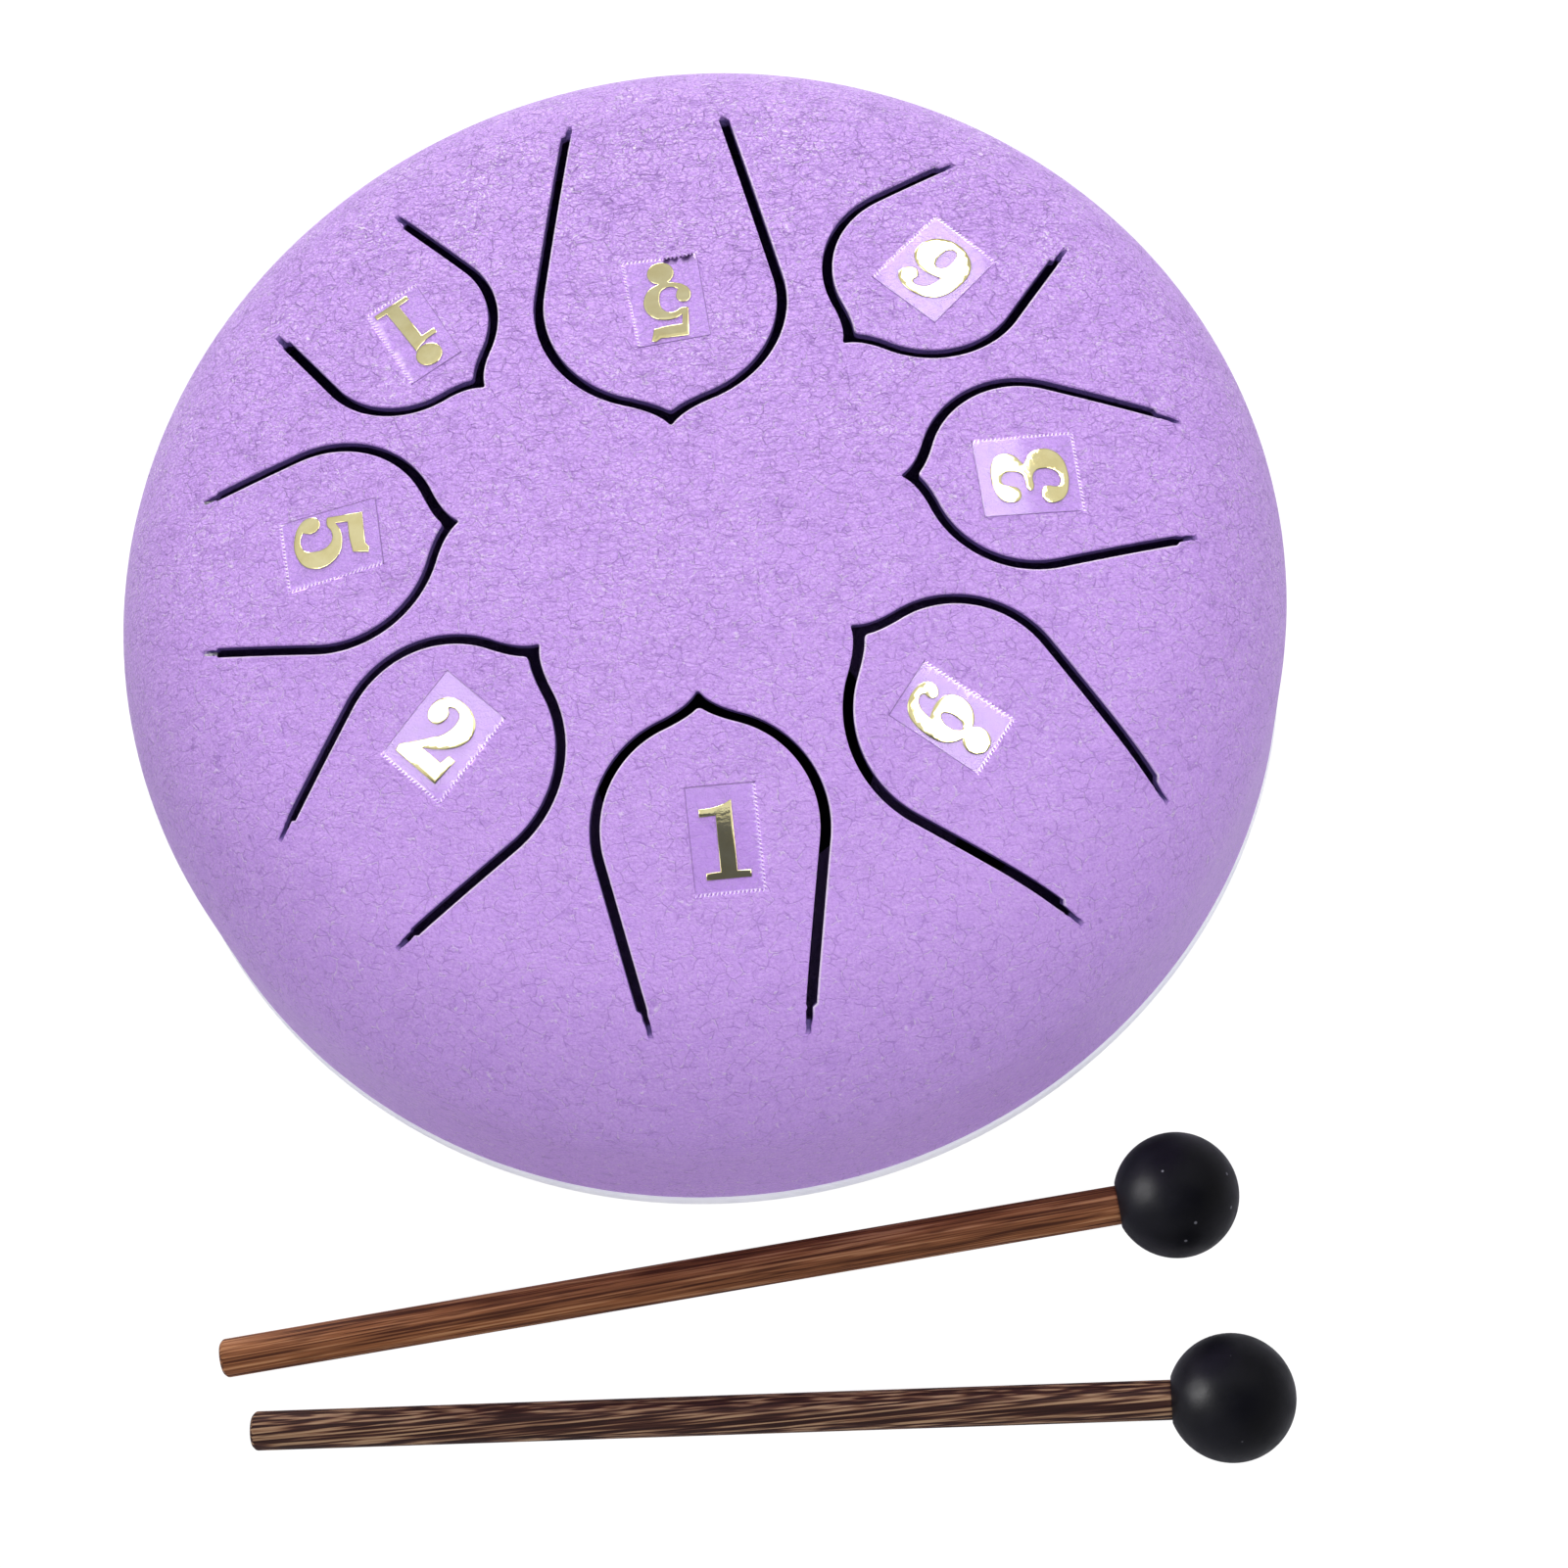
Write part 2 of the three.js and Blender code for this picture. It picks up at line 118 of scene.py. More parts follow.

# %% [markdown]
# ## Studio
#
# The picture was taken in soft light on white. A photographed sky could give such light, but it would be an image file,
# so the sky is plain and only a little brighter in front of the drum than behind it. The background turns white for
# the camera through the Light Path node, so no extra light falls on the drum for it. Under the drum the paper is
# painted near black, a painted shadow, because that spot is seen through the slits and the sound hole. From below the
# paper is clear, so that the underside can be looked at.


# %% Shader helpers
def feed(tree, made, inputs):
    """Fill a node's inputs. Each one gets a plain value, or the output of another node."""
    for name, value in inputs.items():
        if isinstance(value, bpy.types.NodeSocket):
            tree.links.new(value, made.inputs[name])
        else:
            made.inputs[name].default_value = value


def add_node(tree, kind, inputs=None, **settings):
    made = tree.nodes.new(kind)
    for name, value in settings.items():
        setattr(made, name, value)
    feed(tree, made, inputs or {})
    return made


def shade(tree, kind, inputs=None, **settings):
    return add_node(tree, "ShaderNode" + kind, inputs, **settings)


def math_node(tree, operation, *values, clamp=False):
    return shade(tree, "Math", dict(enumerate(values)), operation=operation, use_clamp=clamp).outputs[0]


def times(tree, first, second):
    return math_node(tree, "MULTIPLY", first, second)


def mix(tree, factor, first, second):
    return shade(tree, "Mix", {0: factor, 6: first, 7: second}, data_type="RGBA").outputs[2]


def between(tree, value, low, high, to_low=0.0, to_high=1.0):
    """The value moved from one range to another, and held inside it."""
    inputs = {"Value": value, "From Min": low, "From Max": high, "To Min": to_low, "To Max": to_high}
    return shade(tree, "MapRange", inputs).outputs[0]


def bare_material(name):
    """A material with no nodes yet, and its tree."""
    material = bpy.data.materials.new(name)
    material.use_nodes = True
    material.node_tree.nodes.clear()
    return material, material.node_tree


def colour(red, green, blue):
    """A colour given on the 0 to 255 scale, as the linear values that Blender's sockets hold."""
    shares = [v / 255 for v in (red, green, blue)]
    return [v / 12.92 if v <= 0.04045 else ((v + 0.055) / 1.055) ** 2.4 for v in shares] + [1.0]


def seen_directly(tree, *also):
    """1 for what the camera sees directly or in the other ways named, and 0 for light that falls on things."""
    path = shade(tree, "LightPath").outputs
    total = path["Is Camera Ray"]
    for way in also:
        total = math_node(tree, "ADD", total, path[f"Is {way} Ray"], clamp=True)
    return total


# %% Sky
SKY_LIGHT = {"bright": 0.69, "dim": 0.29}
SKY_BRIGHT_SIDE = (0.4, -0.92, 0.0)
SKY_TINT = (0.97, 0.98, 1.08, 1)
SKY_MIRRORED = {"low": 0.5, "high": 1.0}
SKY_TURNS_WHITE = (0.45, 0.75)

world = bpy.data.worlds.new("studio")
world.use_nodes = True
scene.world = world
sky = world.node_tree
sky.nodes.clear()
ahead = shade(sky, "TexCoord").outputs["Generated"]
height = shade(sky, "SeparateXYZ", {"Vector": ahead}).outputs["Z"]
towards = shade(sky, "VectorMath", {0: ahead, 1: SKY_BRIGHT_SIDE}, operation="DOT_PRODUCT").outputs["Value"]
light = between(sky, towards, -1.0, 1.0, SKY_LIGHT["dim"], SKY_LIGHT["bright"])
mirrored = between(sky, height, *SKY_TURNS_WHITE, SKY_MIRRORED["low"], SKY_MIRRORED["high"])
glossy = shade(sky, "LightPath").outputs["Is Glossy Ray"]
strength = between(sky, glossy, 0.0, 1.0, light, mirrored)
strength = between(sky, seen_directly(sky, "Transmission"), 0.0, 1.0, strength, 1.0)
tint = mix(sky, seen_directly(sky, "Glossy", "Transmission"), SKY_TINT, (1, 1, 1, 1))
background = shade(sky, "Background", {"Color": tint, "Strength": strength})
shade(sky, "OutputWorld", {"Surface": background.outputs[0]})
print("sky:", SKY_LIGHT, "towards", SKY_BRIGHT_SIDE)

# %% Paper floor
FLOOR_WHITE = (0.76, 0.76, 0.77, 1)
FLOOR_LIFT = 0.92
FLOOR_GLOW = 1.1
FLOOR_HALF = 3.0
UNDER_DRUM = (0.055, 0.080)
WHITE_FROM = (0.030, 0.050)
# Painted shadow: the paper's colour turns near black under the drum, fading out between the UNDER_DRUM radii.
PAINTED_SHADOW_UNDER_DRUM = (0.010, 0.007, 0.016, 1)

paper, tree = bare_material("white_paper")
spot = shade(tree, "TexCoord").outputs["Object"]
away = shade(tree, "VectorMath", {0: spot, 1: (DRUM_X * MM, DRUM_Y * MM, 0)}, operation="DISTANCE").outputs["Value"]
# The first mask fades the painted shadow under the drum, the second fades the white lift.
outside_painted_shadow, white_floor = (between(tree, away, *reach) for reach in (UNDER_DRUM, WHITE_FROM))
lift = times(tree, seen_directly(tree, "Transmission"), white_floor)
lift = times(tree, lift, FLOOR_LIFT)
matt = shade(tree, "BsdfDiffuse", {"Color": mix(tree, outside_painted_shadow, PAINTED_SHADOW_UNDER_DRUM, FLOOR_WHITE)})
glow = shade(tree, "Emission", {"Color": (1, 1, 1, 1), "Strength": FLOOR_GLOW})
both = shade(tree, "MixShader", {0: lift, 1: matt.outputs[0], 2: glow.outputs[0]})
below = shade(tree, "NewGeometry").outputs["Backfacing"]
clear = shade(tree, "BsdfTransparent")
both = shade(tree, "MixShader", {0: below, 1: both.outputs[0], 2: clear.outputs[0]})
shade(tree, "OutputMaterial", {"Surface": both.outputs[0]})


def stage_sheet(name, corners, height, material):
    """A level sheet of the stage, which isn't part of the drum."""
    mesh = bpy.data.meshes.new(name)
    mesh.from_pydata([(x, y, height) for x, y in corners], [], [(0, 1, 2, 3)])
    mesh.materials.append(material)
    sheet = bpy.data.objects.new(name, mesh)
    scene.collection.objects.link(sheet)
    return sheet


half = FLOOR_HALF
stage_sheet("paper_floor", [(-half, -half), (half, -half), (half, half), (-half, half)], 0, paper)
print("floor", 2 * FLOOR_HALF, "m across")

# %% [markdown]
# ## Lamps and cards
#
# Foil shows what it mirrors, so the lamps are placed by what each numeral should mirror. Moving them about until it
# looks right would take many renders, so their places were worked out from the rays that the camera sees mirrored. The
# two panels overhead are mirrored by the numerals on the right and on the left front, while the other numerals mirror
# the pale sky and stay gold. A lamp behind the drum lightens the back. Two dim cards overhead are seen by mirror-like
# surfaces only: the front one darkens the lower half of the front numeral and the rubber balls, and the back one dulls
# the numeral at the back.

# %% Panels
PANEL_HEIGHT = 1.085
PANELS = {
    "right_panel": {"middle": (0.385, 0.675), "size": (0.205, 1.45), "turn": -3.7, "brightness": 6.6},
    "left_panel": {"middle": (-0.52, 0.245), "size": (0.46, 0.27), "turn": 0.0, "brightness": 5.4},
}
BACK_LAMP = {"place": (-0.28, 1.7, 0.54), "size": 0.65, "brightness": 11.6}


def soft_panel(name, place, size, brightness, target=None):
    """A lamp with its brightness set as what a mirror would show. It faces down, or towards its target."""
    light = bpy.data.lights.new(name, "AREA")
    light.shape = "RECTANGLE"
    light.size, light.size_y = size
    light.energy = brightness * math.pi * size[0] * size[1]
    lamp = bpy.data.objects.new(name, light)
    lamp.location = place
    if target is not None:
        lamp.rotation_euler = (target - Vector(place)).to_track_quat("-Z", "Y").to_euler()
    scene.collection.objects.link(lamp)
    return lamp


for name, panel in PANELS.items():
    lamp = soft_panel(name, (*panel["middle"], PANEL_HEIGHT), panel["size"], panel["brightness"])
    lamp.rotation_euler.z = math.radians(panel["turn"])
soft_panel("back_lamp", BACK_LAMP["place"], (BACK_LAMP["size"],) * 2, BACK_LAMP["brightness"], drum_middle)

# %% Cards
CARDS = {
    "front_card": {"low": (-0.6, -1.8), "high": (1.4, 0.005), "tone": (0.145, 0.154, 0.21, 1)},
    "back_card": {"low": (-0.25, 0.86), "high": (0.13, 1.22), "tone": (0.76, 0.76, 0.8, 1)},
}
CARD_HEIGHT = 1.09

for name, part in CARDS.items():
    (left, front), (right, behind) = part["low"], part["high"]
    corners = [(left, front), (left, behind), (right, behind), (right, front)]
    dim, tree = bare_material(name)
    dim_light = shade(tree, "Emission", {"Color": part["tone"], "Strength": 1.0})
    shade(tree, "OutputMaterial", {"Surface": dim_light.outputs[0]})
    card = stage_sheet(name, corners, CARD_HEIGHT, dim)
    card.visible_camera = card.visible_diffuse = card.visible_transmission = card.visible_shadow = False
print("cards:", list(CARDS))

# %% [markdown]
# ## Sheets with openings
#
# Both shells, the films and the foil are thin sheets with an outline and openings. A Boolean modifier could cut the
# slits, but it leaves long thin faces that spoil the shading of a smooth dome. Blender's own Delaunay fill is given
# the outlines instead, with rows of points that follow them and loose points between. It returns an even net of
# triangles whose edges lie exactly on the outlines. The flat net is then lifted onto the dome, copied to the other
# side of the sheet, and closed by a wall along every free edge.


# %% Flat nets
FILL_TOLERANCE = 1e-6


def within(points, outline):
    """Which points lie inside a closed outline."""
    start = np.asarray(outline)
    end = np.roll(start, -1, 0)
    near = np.flatnonzero(((points > start.min(0)) & (points < start.max(0))).all(1))
    at = points[near][:, None, :]
    crossed = (start[:, 1] > at[..., 1]) != (end[:, 1] > at[..., 1])
    rise = np.where(end[:, 1] == start[:, 1], 1.0, end[:, 1] - start[:, 1])
    cross_x = start[:, 0] + (at[..., 1] - start[:, 1]) * (end[:, 0] - start[:, 0]) / rise
    result = np.zeros(len(points), bool)
    result[near] = (crossed & (at[..., 0] < cross_x)).sum(1) % 2 == 1
    return result


def beside(outline, distance):
    """The outline moved to the left of its own direction. Sharp corners are cut short."""
    at = np.asarray(outline)
    ahead = np.roll(at, -1, 0) - at
    ahead /= np.linalg.norm(ahead, axis=1)[:, None]
    behind = np.roll(ahead, 1, 0)
    across = np.stack([-(ahead + behind)[:, 1], (ahead + behind)[:, 0]], 1)
    across /= np.maximum(np.linalg.norm(across, axis=1), 1e-9)[:, None]
    left = np.stack([-ahead[:, 1], ahead[:, 0]], 1)
    stretch = 1 / np.maximum((across * left).sum(1), 0.6)
    return at + across * (distance * stretch)[:, None]


def fill(solids, openings, lines, loose, lines_close=True):
    """A flat net of triangles inside the solid outlines and outside the openings, with edges along the lines."""
    points, edges = [], []
    for k, line in enumerate([*solids, *openings, *lines]):
        first, count = len(points), len(line)
        points += [Vector(p) for p in line]
        closes = lines_close or k < len(solids) + len(openings)
        edges += [(first + i, first + (i + 1) % count) for i in range(count if closes else count - 1)]
    points += [Vector(p) for p in loose]
    found = delaunay_2d_cdt(points, edges, [], 0, FILL_TOLERANCE)
    flat = np.array([v[:] for v in found[0]])
    triangles = np.array(found[2])
    middles = flat[triangles].mean(1)
    kept = np.any([within(middles, s) for s in solids], 0)
    for opening in openings:
        kept &= ~within(middles, opening)
    triangles = triangles[kept]
    used, triangles = np.unique(triangles, return_inverse=True)
    return flat[used], triangles.reshape(-1, 3)


def nearest_edge(outlines, points):
    """How far each point is from the nearest edge of the outlines, and the direction across that edge to its right."""
    start = np.concatenate(outlines)
    end = np.concatenate([np.roll(o, -1, 0) for o in outlines])
    tree = KDTree(len(start))
    for i, middle in enumerate((start + end) / 2):
        tree.insert((*middle, 0), i)
    tree.balance()
    near = np.array([[hit[1] for hit in tree.find_n((*p, 0), 5)] for p in points])
    a, b, p = start[near], end[near], points[:, None, :]
    along = np.clip(((p - a) * (b - a)).sum(2) / np.maximum(((b - a) ** 2).sum(2), 1e-12), 0, 1)
    apart = np.linalg.norm(p - a - along[..., None] * (b - a), axis=2)
    best = (np.arange(len(points)), apart.argmin(1))
    ahead = (b - a)[best]
    right = np.stack([ahead[:, 1], -ahead[:, 0]], 1) / np.maximum(np.linalg.norm(ahead, axis=1), 1e-12)[:, None]
    return apart[best], right


def gap_to(outlines, points):
    return nearest_edge(outlines, points)[0]


# %% Solid sheets
CREASE = math.radians(38)


def slab(top, bottom, triangles):
    """Two matching sheets closed into one solid by a wall along every free edge."""
    count = len(top)
    edges = np.concatenate([triangles[:, [0, 1]], triangles[:, [1, 2]], triangles[:, [2, 0]]])
    _, first, uses = np.unique(np.sort(edges, 1), axis=0, return_index=True, return_counts=True)
    free = edges[first[uses == 1]]
    walls = np.stack([free[:, 1], free[:, 0], free[:, 0] + count, free[:, 1] + count], 1)
    faces = triangles.tolist() + (triangles[:, ::-1] + count).tolist() + walls.tolist()
    return np.concatenate([top, bottom]), faces


def new_piece(name, points, faces, material, body, replaces=()):
    """A finished piece of the object: its mesh in metres, its material, and the body that it rides on."""
    mesh = bpy.data.meshes.new(name)
    mesh.from_pydata((np.asarray(points) * MM).tolist(), [], faces)
    mesh.materials.append(material)
    mesh.shade_smooth()
    mesh.set_sharp_from_angle(angle=CREASE)
    piece = bpy.data.objects.new(name, mesh)
    scene.collection.objects.link(piece)
    settle(piece, body, replaces)
    return piece


def settle(piece, body, replaces):
    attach(piece, body)
    if replaces:
        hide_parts(*replaces)
    mesh = piece.data
    mesh.calc_loop_triangles()
    print(f"{piece.name}: {len(mesh.vertices)} points, {len(mesh.loop_triangles)} triangles on {body}")


# %% [markdown]
# ## Lilac paint with a leather grain
#
# The finish is a sprayed structure paint that looks like leather. Close up it has specks, a net of short cracks, a
# finer crinkle, and creases that run across the drum. The cracks, the crinkle and the creases are darkened with painted
# shade, and painted glints lie beside each crack and scattered over the face. The scene's light falls from behind, so
# the painted shade and glints are strong at the back and weak at the front, and the specks are evened out at the front:
# painted light, set by Object Y. Displacing the mesh would need millions of faces for creases a few hundredths of a
# millimetre deep, so the grain is a bump and a slight change of colour, read from Object coordinates so that it has its
# real scale on both shells. Three point attributes say where the paint changes: a painted highlight lies on rolled
# edges that face the light (edge), the paint darkens with depth in the slits and inside (depth), and the steel is bare
# where a slit was filed for tuning (bare).


# %% Material helpers
def new_material(name):
    """A new material, its tree and its Principled shader."""
    material = bpy.data.materials.new(name)
    material.use_nodes = True
    tree = material.node_tree
    return material, tree, tree.nodes["Principled BSDF"]


def ramp(tree, factor, stops):
    """A colour ramp from (position, colour) stops."""
    made = shade(tree, "ValToRGB", {"Fac": factor})
    elements = made.color_ramp.elements
    while len(elements) < len(stops):
        elements.new(0.5)
    for element, (position, tint) in zip(elements, stops):
        element.position, element.color = position, tint
    return made.outputs["Color"]


def noise(tree, where, scale, detail=2.0, roughness=0.5):
    inputs = {"Vector": where, "Scale": scale, "Detail": detail, "Roughness": roughness}
    return shade(tree, "TexNoise", inputs).outputs["Fac"]


def stretched(tree, where, scale):
    return shade(tree, "Mapping", {"Vector": where, "Scale": scale}).outputs[0]


# %% Patterns in the paint
STIRS_PER_M, CRINKLE_PUSH, CRACK_PUSH = 520, 0.0022, 0.0012
CREASES_PER_M, CREASE_WIDTH = 500, 0.011
CRACKS_PER_M = 600
# A painted highlight line sits this far beside each crack.
HIGHLIGHT_ASIDE = (0.0001, 0.00014, 0)
CELLS_PER_M = 1500
SPECKS_PER_M = 3300


def net_of_lines(tree, where, scale, stretch, width):
    """A net of fine lines between irregular cells that are longer in X than in Y."""
    longer = stretched(tree, where, (1 / stretch, 1, 1))
    cells = shade(tree, "TexVoronoi", {"Vector": longer, "Scale": scale}, feature="DISTANCE_TO_EDGE")
    return between(tree, cells.outputs["Distance"], 0.0, width, 1.0, 0.0)


def patches(tree, where, scale, detail, low, high):
    """Uneven patches that fade in between two levels of a noise, to break up a pattern."""
    return between(tree, noise(tree, where, scale, detail, 0.6), low, high)


def paint_patterns(tree, where):
    """The patterns of the paint by their names, each from 0 to about 1."""
    stir = shade(tree, "TexNoise", {"Vector": where, "Scale": STIRS_PER_M, "Detail": 3.0}).outputs["Color"]
    stir = shade(tree, "VectorMath", {0: stir, 1: (0.5, 0.5, 0.5)}, operation="SUBTRACT").outputs[0]
    bent, softly_bent = (
        shade(tree, "VectorMath", {0: stir, 1: (push,) * 3, 2: where}, operation="MULTIPLY_ADD").outputs[0]
        for push in (CRINKLE_PUSH, CRACK_PUSH)
    )
    found = {"specks": noise(tree, where, SPECKS_PER_M, 2.0, 0.65)}
    level = noise(tree, stretched(tree, where, (0.2, 1, 1)), CREASES_PER_M, 4, 0.6)
    crease = math_node(tree, "COMPARE", level, 0.5, CREASE_WIDTH)
    found["crease"] = times(tree, crease, patches(tree, where, 200, 3, 0.46, 0.58))
    crack = net_of_lines(tree, softly_bent, CRACKS_PER_M, 1.2, 0.055)
    found["crack"] = times(tree, crack, patches(tree, where, 650, 3, 0.44, 0.54))
    # Painted highlight lines, moved a little aside from the cracks.
    beside_it = shade(tree, "Mapping", {"Vector": softly_bent, "Location": HIGHLIGHT_ASIDE}).outputs[0]
    highlight_line = net_of_lines(tree, beside_it, CRACKS_PER_M, 1.2, 0.045)
    found["highlight line"] = times(tree, highlight_line, patches(tree, where, 1000, 2, 0.54, 0.62))
    found["crinkle"] = net_of_lines(tree, bent, CELLS_PER_M, 1.4, 0.17)
    longer = stretched(tree, bent, (0.7, 1, 1))
    cells = shade(tree, "TexVoronoi", {"Vector": longer, "Scale": CELLS_PER_M}, feature="F1")
    found["cell"] = cells.outputs["Distance"]
    # Painted glints, scattered in patches.
    painted_glint = patches(tree, longer, 2700, 2, 0.58, 0.66)
    found["painted_glint"] = times(tree, painted_glint, between(tree, noise(tree, where, 130), 0.42, 0.62))
    return found


# %% Lilac paint
LILAC = colour(216, 171, 248)
LILAC_DEEP = colour(198, 149, 232)
LILAC_PALE = colour(231, 192, 254)
LILAC_BLUE = colour(194, 150, 235)
# Painted shade in the cracks, the crinkle and the creases.
CREASE_SHADE_VIOLET = colour(150, 108, 190)
# Tone of the painted glints and painted highlight lines.
PAINTED_GLINT_TONE = colour(248, 234, 254)
RIM_PAINTED_HIGHLIGHT = colour(255, 242, 255)
BARE_STEEL = colour(206, 205, 203)
# The paint darkens with depth below the face: the cut walls towards indigo, the inside towards violet.
WALL_INDIGO = colour(108, 88, 152)
INSIDE_VIOLET = colour(128, 100, 170)
# Painted light: the painted shade and glints grow from weak at the front to strong at the back, over this span of Y.
PAINTED_LIGHT_FRONT_TO_BACK = (-0.035, 0.07)
PAINTED_SHADE_AND_GLINT_SHARES = {"crinkle": 0.48, "crease": 0.5, "painted_glint": 0.9}
RELIEF = {"cell": -0.45, "crease": -0.3, "crinkle": -0.12, "crack": -0.3, "highlight line": 0.3}


def lilac_paint():
    material, tree, shader = new_material("lilac_leather_paint")
    where = shade(tree, "TexCoord").outputs["Object"]
    back_half = shade(tree, "SeparateXYZ", {"Vector": where}).outputs["Y"]
    found = paint_patterns(tree, where)

    # Painted light: a value that runs from the front to the back of the drum, as the scene's light falls from behind.
    def as_lit_from_back(at_front, at_back):
        return between(tree, back_half, *PAINTED_LIGHT_FRONT_TO_BACK, at_front, at_back)

    tone = ramp(tree, found["specks"], [(0.33, LILAC_DEEP), (0.5, LILAC), (0.66, LILAC_PALE)])
    # Painted light: the specks are evened out at the front.
    tone = mix(tree, as_lit_from_back(0.5, 0.0), tone, LILAC)
    tone = mix(tree, between(tree, noise(tree, where, 420), 0.52, 0.68, 0.0, 0.22), tone, LILAC_BLUE)
    # Painted shade in the cracks, stronger towards the back.
    tone = mix(tree, times(tree, found["crack"], as_lit_from_back(0.42, 0.66)), tone, CREASE_SHADE_VIOLET)
    # Painted highlight beside the cracks.
    tone = mix(tree, times(tree, found["highlight line"], 0.62), tone, PAINTED_GLINT_TONE)
    # How strongly the painted shade and glints show: weak at the front, strong at the back.
    grain = as_lit_from_back(0.22, 1.1)
    # Painted shade in the crinkle and creases, and painted glints, all stronger towards the back.
    for name, share in PAINTED_SHADE_AND_GLINT_SHARES.items():
        share = times(tree, found[name], times(tree, grain, share))
        tone = mix(tree, share, tone, PAINTED_GLINT_TONE if name == "painted_glint" else CREASE_SHADE_VIOLET)
    names = ("edge", "bare", "depth")
    edge, bare, depth = (shade(tree, "Attribute", attribute_name=name).outputs["Fac"] for name in names)
    # Painted highlight on the rolled edges that face the light.
    tone = mix(tree, times(tree, edge, 0.8), tone, RIM_PAINTED_HIGHLIGHT)
    # Darker with depth in the slits and on the inside.
    wall = ramp(tree, depth, [(0.1, WALL_INDIGO), (0.6, WALL_INDIGO), (1.0, INSIDE_VIOLET)])
    tone = mix(tree, between(tree, depth, 0.04, 0.14), tone, wall)
    worn = between(tree, times(tree, bare, noise(tree, where, 2200)), 0.3, 0.4)
    tone = mix(tree, worn, tone, BARE_STEEL)

    height = times(tree, found["specks"], 0.6)
    for name, rise in RELIEF.items():
        height = math_node(tree, "MULTIPLY_ADD", found[name], rise, height)
    bump = shade(tree, "Bump", {"Strength": as_lit_from_back(0.55, 0.95), "Distance": 0.00036, "Height": height})
    rough = between(tree, found["specks"], 0.3, 0.7, 0.42, 0.3)
    feed(tree, shader, {"Base Color": tone, "Metallic": worn, "Roughness": rough, "Normal": bump.outputs[0]})
    feed(tree, shader, {"Specular IOR Level": 0.19})
    return material


PAINT = lilac_paint()
print(PAINT.name, len(PAINT.node_tree.nodes), "nodes")

# %% [markdown]
# ## Upper shell
#
# The dome is pressed from 1.2 mm sheet: a flat crown arc, a round shoulder and a straight wall. Spinning a profile
# gives the dome but not the tongues, so the dome is unrolled first: each point of the flat net is as far from the
# middle as the way along the profile. The slits are drawn in plan and moved onto the net.

# %% Dome profile
DRUM_RADIUS = 77.5
SHEET = 1.2
CROWN_RADIUS = 240.0
SHOULDER_RADIUS = 22.0
CROWN_STEPS, SHOULDER_STEPS, WALL_STEPS = 240, 120, 60
CROWN_CENTRE_Z = TOP_Z - CROWN_RADIUS
SHOULDER_CENTRE_R = DRUM_RADIUS - SHOULDER_RADIUS
SHOULDER_ANGLE = math.asin(SHOULDER_CENTRE_R / (CROWN_RADIUS - SHOULDER_RADIUS))
SHOULDER_CENTRE_Z = CROWN_CENTRE_Z + (CROWN_RADIUS - SHOULDER_RADIUS) * math.cos(SHOULDER_ANGLE)


def arc(centre, radius, start, end, steps):
    """Points of an arc in a profile of (radius, height). Angles run from the axis towards the outside."""
    angles = np.linspace(start, end, steps + 1)
    return np.stack([centre[0] + radius * np.sin(angles), centre[1] + radius * np.cos(angles)], 1)


def straight(start, end, steps):
    return np.linspace(start, end, steps + 1)


def eased(start, corner, end, shares):
    """Points of a curve that leaves its start towards the corner and comes to its end from there."""
    t = np.asarray(shares)[:, None]
    return (1 - t) ** 2 * start + 2 * t * (1 - t) * corner + t**2 * end


def joined(*runs):
    """Runs of points that meet end to end, as one run."""
    return np.concatenate([runs[0], *[run[1:] for run in runs[1:]]])


def dome_profile(inset):
    crown = arc((0, CROWN_CENTRE_Z), CROWN_RADIUS - inset, 0, SHOULDER_ANGLE, CROWN_STEPS)
    shoulder_centre = (SHOULDER_CENTRE_R, SHOULDER_CENTRE_Z)
    shoulder = arc(shoulder_centre, SHOULDER_RADIUS - inset, SHOULDER_ANGLE, math.pi / 2, SHOULDER_STEPS)
    wall_radius = DRUM_RADIUS - inset
    wall = straight((wall_radius, SHOULDER_CENTRE_Z), (wall_radius, SEAM_Z), WALL_STEPS)
    return joined(crown, shoulder, wall)


def run_along(profile):
    """How far along a profile each of its points is."""
    return np.concatenate([[0], np.cumsum(np.linalg.norm(np.diff(profile, axis=0), axis=1))])


DOME = dome_profile(0)
DOME_RUN = run_along(DOME)
print(f"way from the top of the dome to its rim: {DOME_RUN[-1]:.1f} mm")

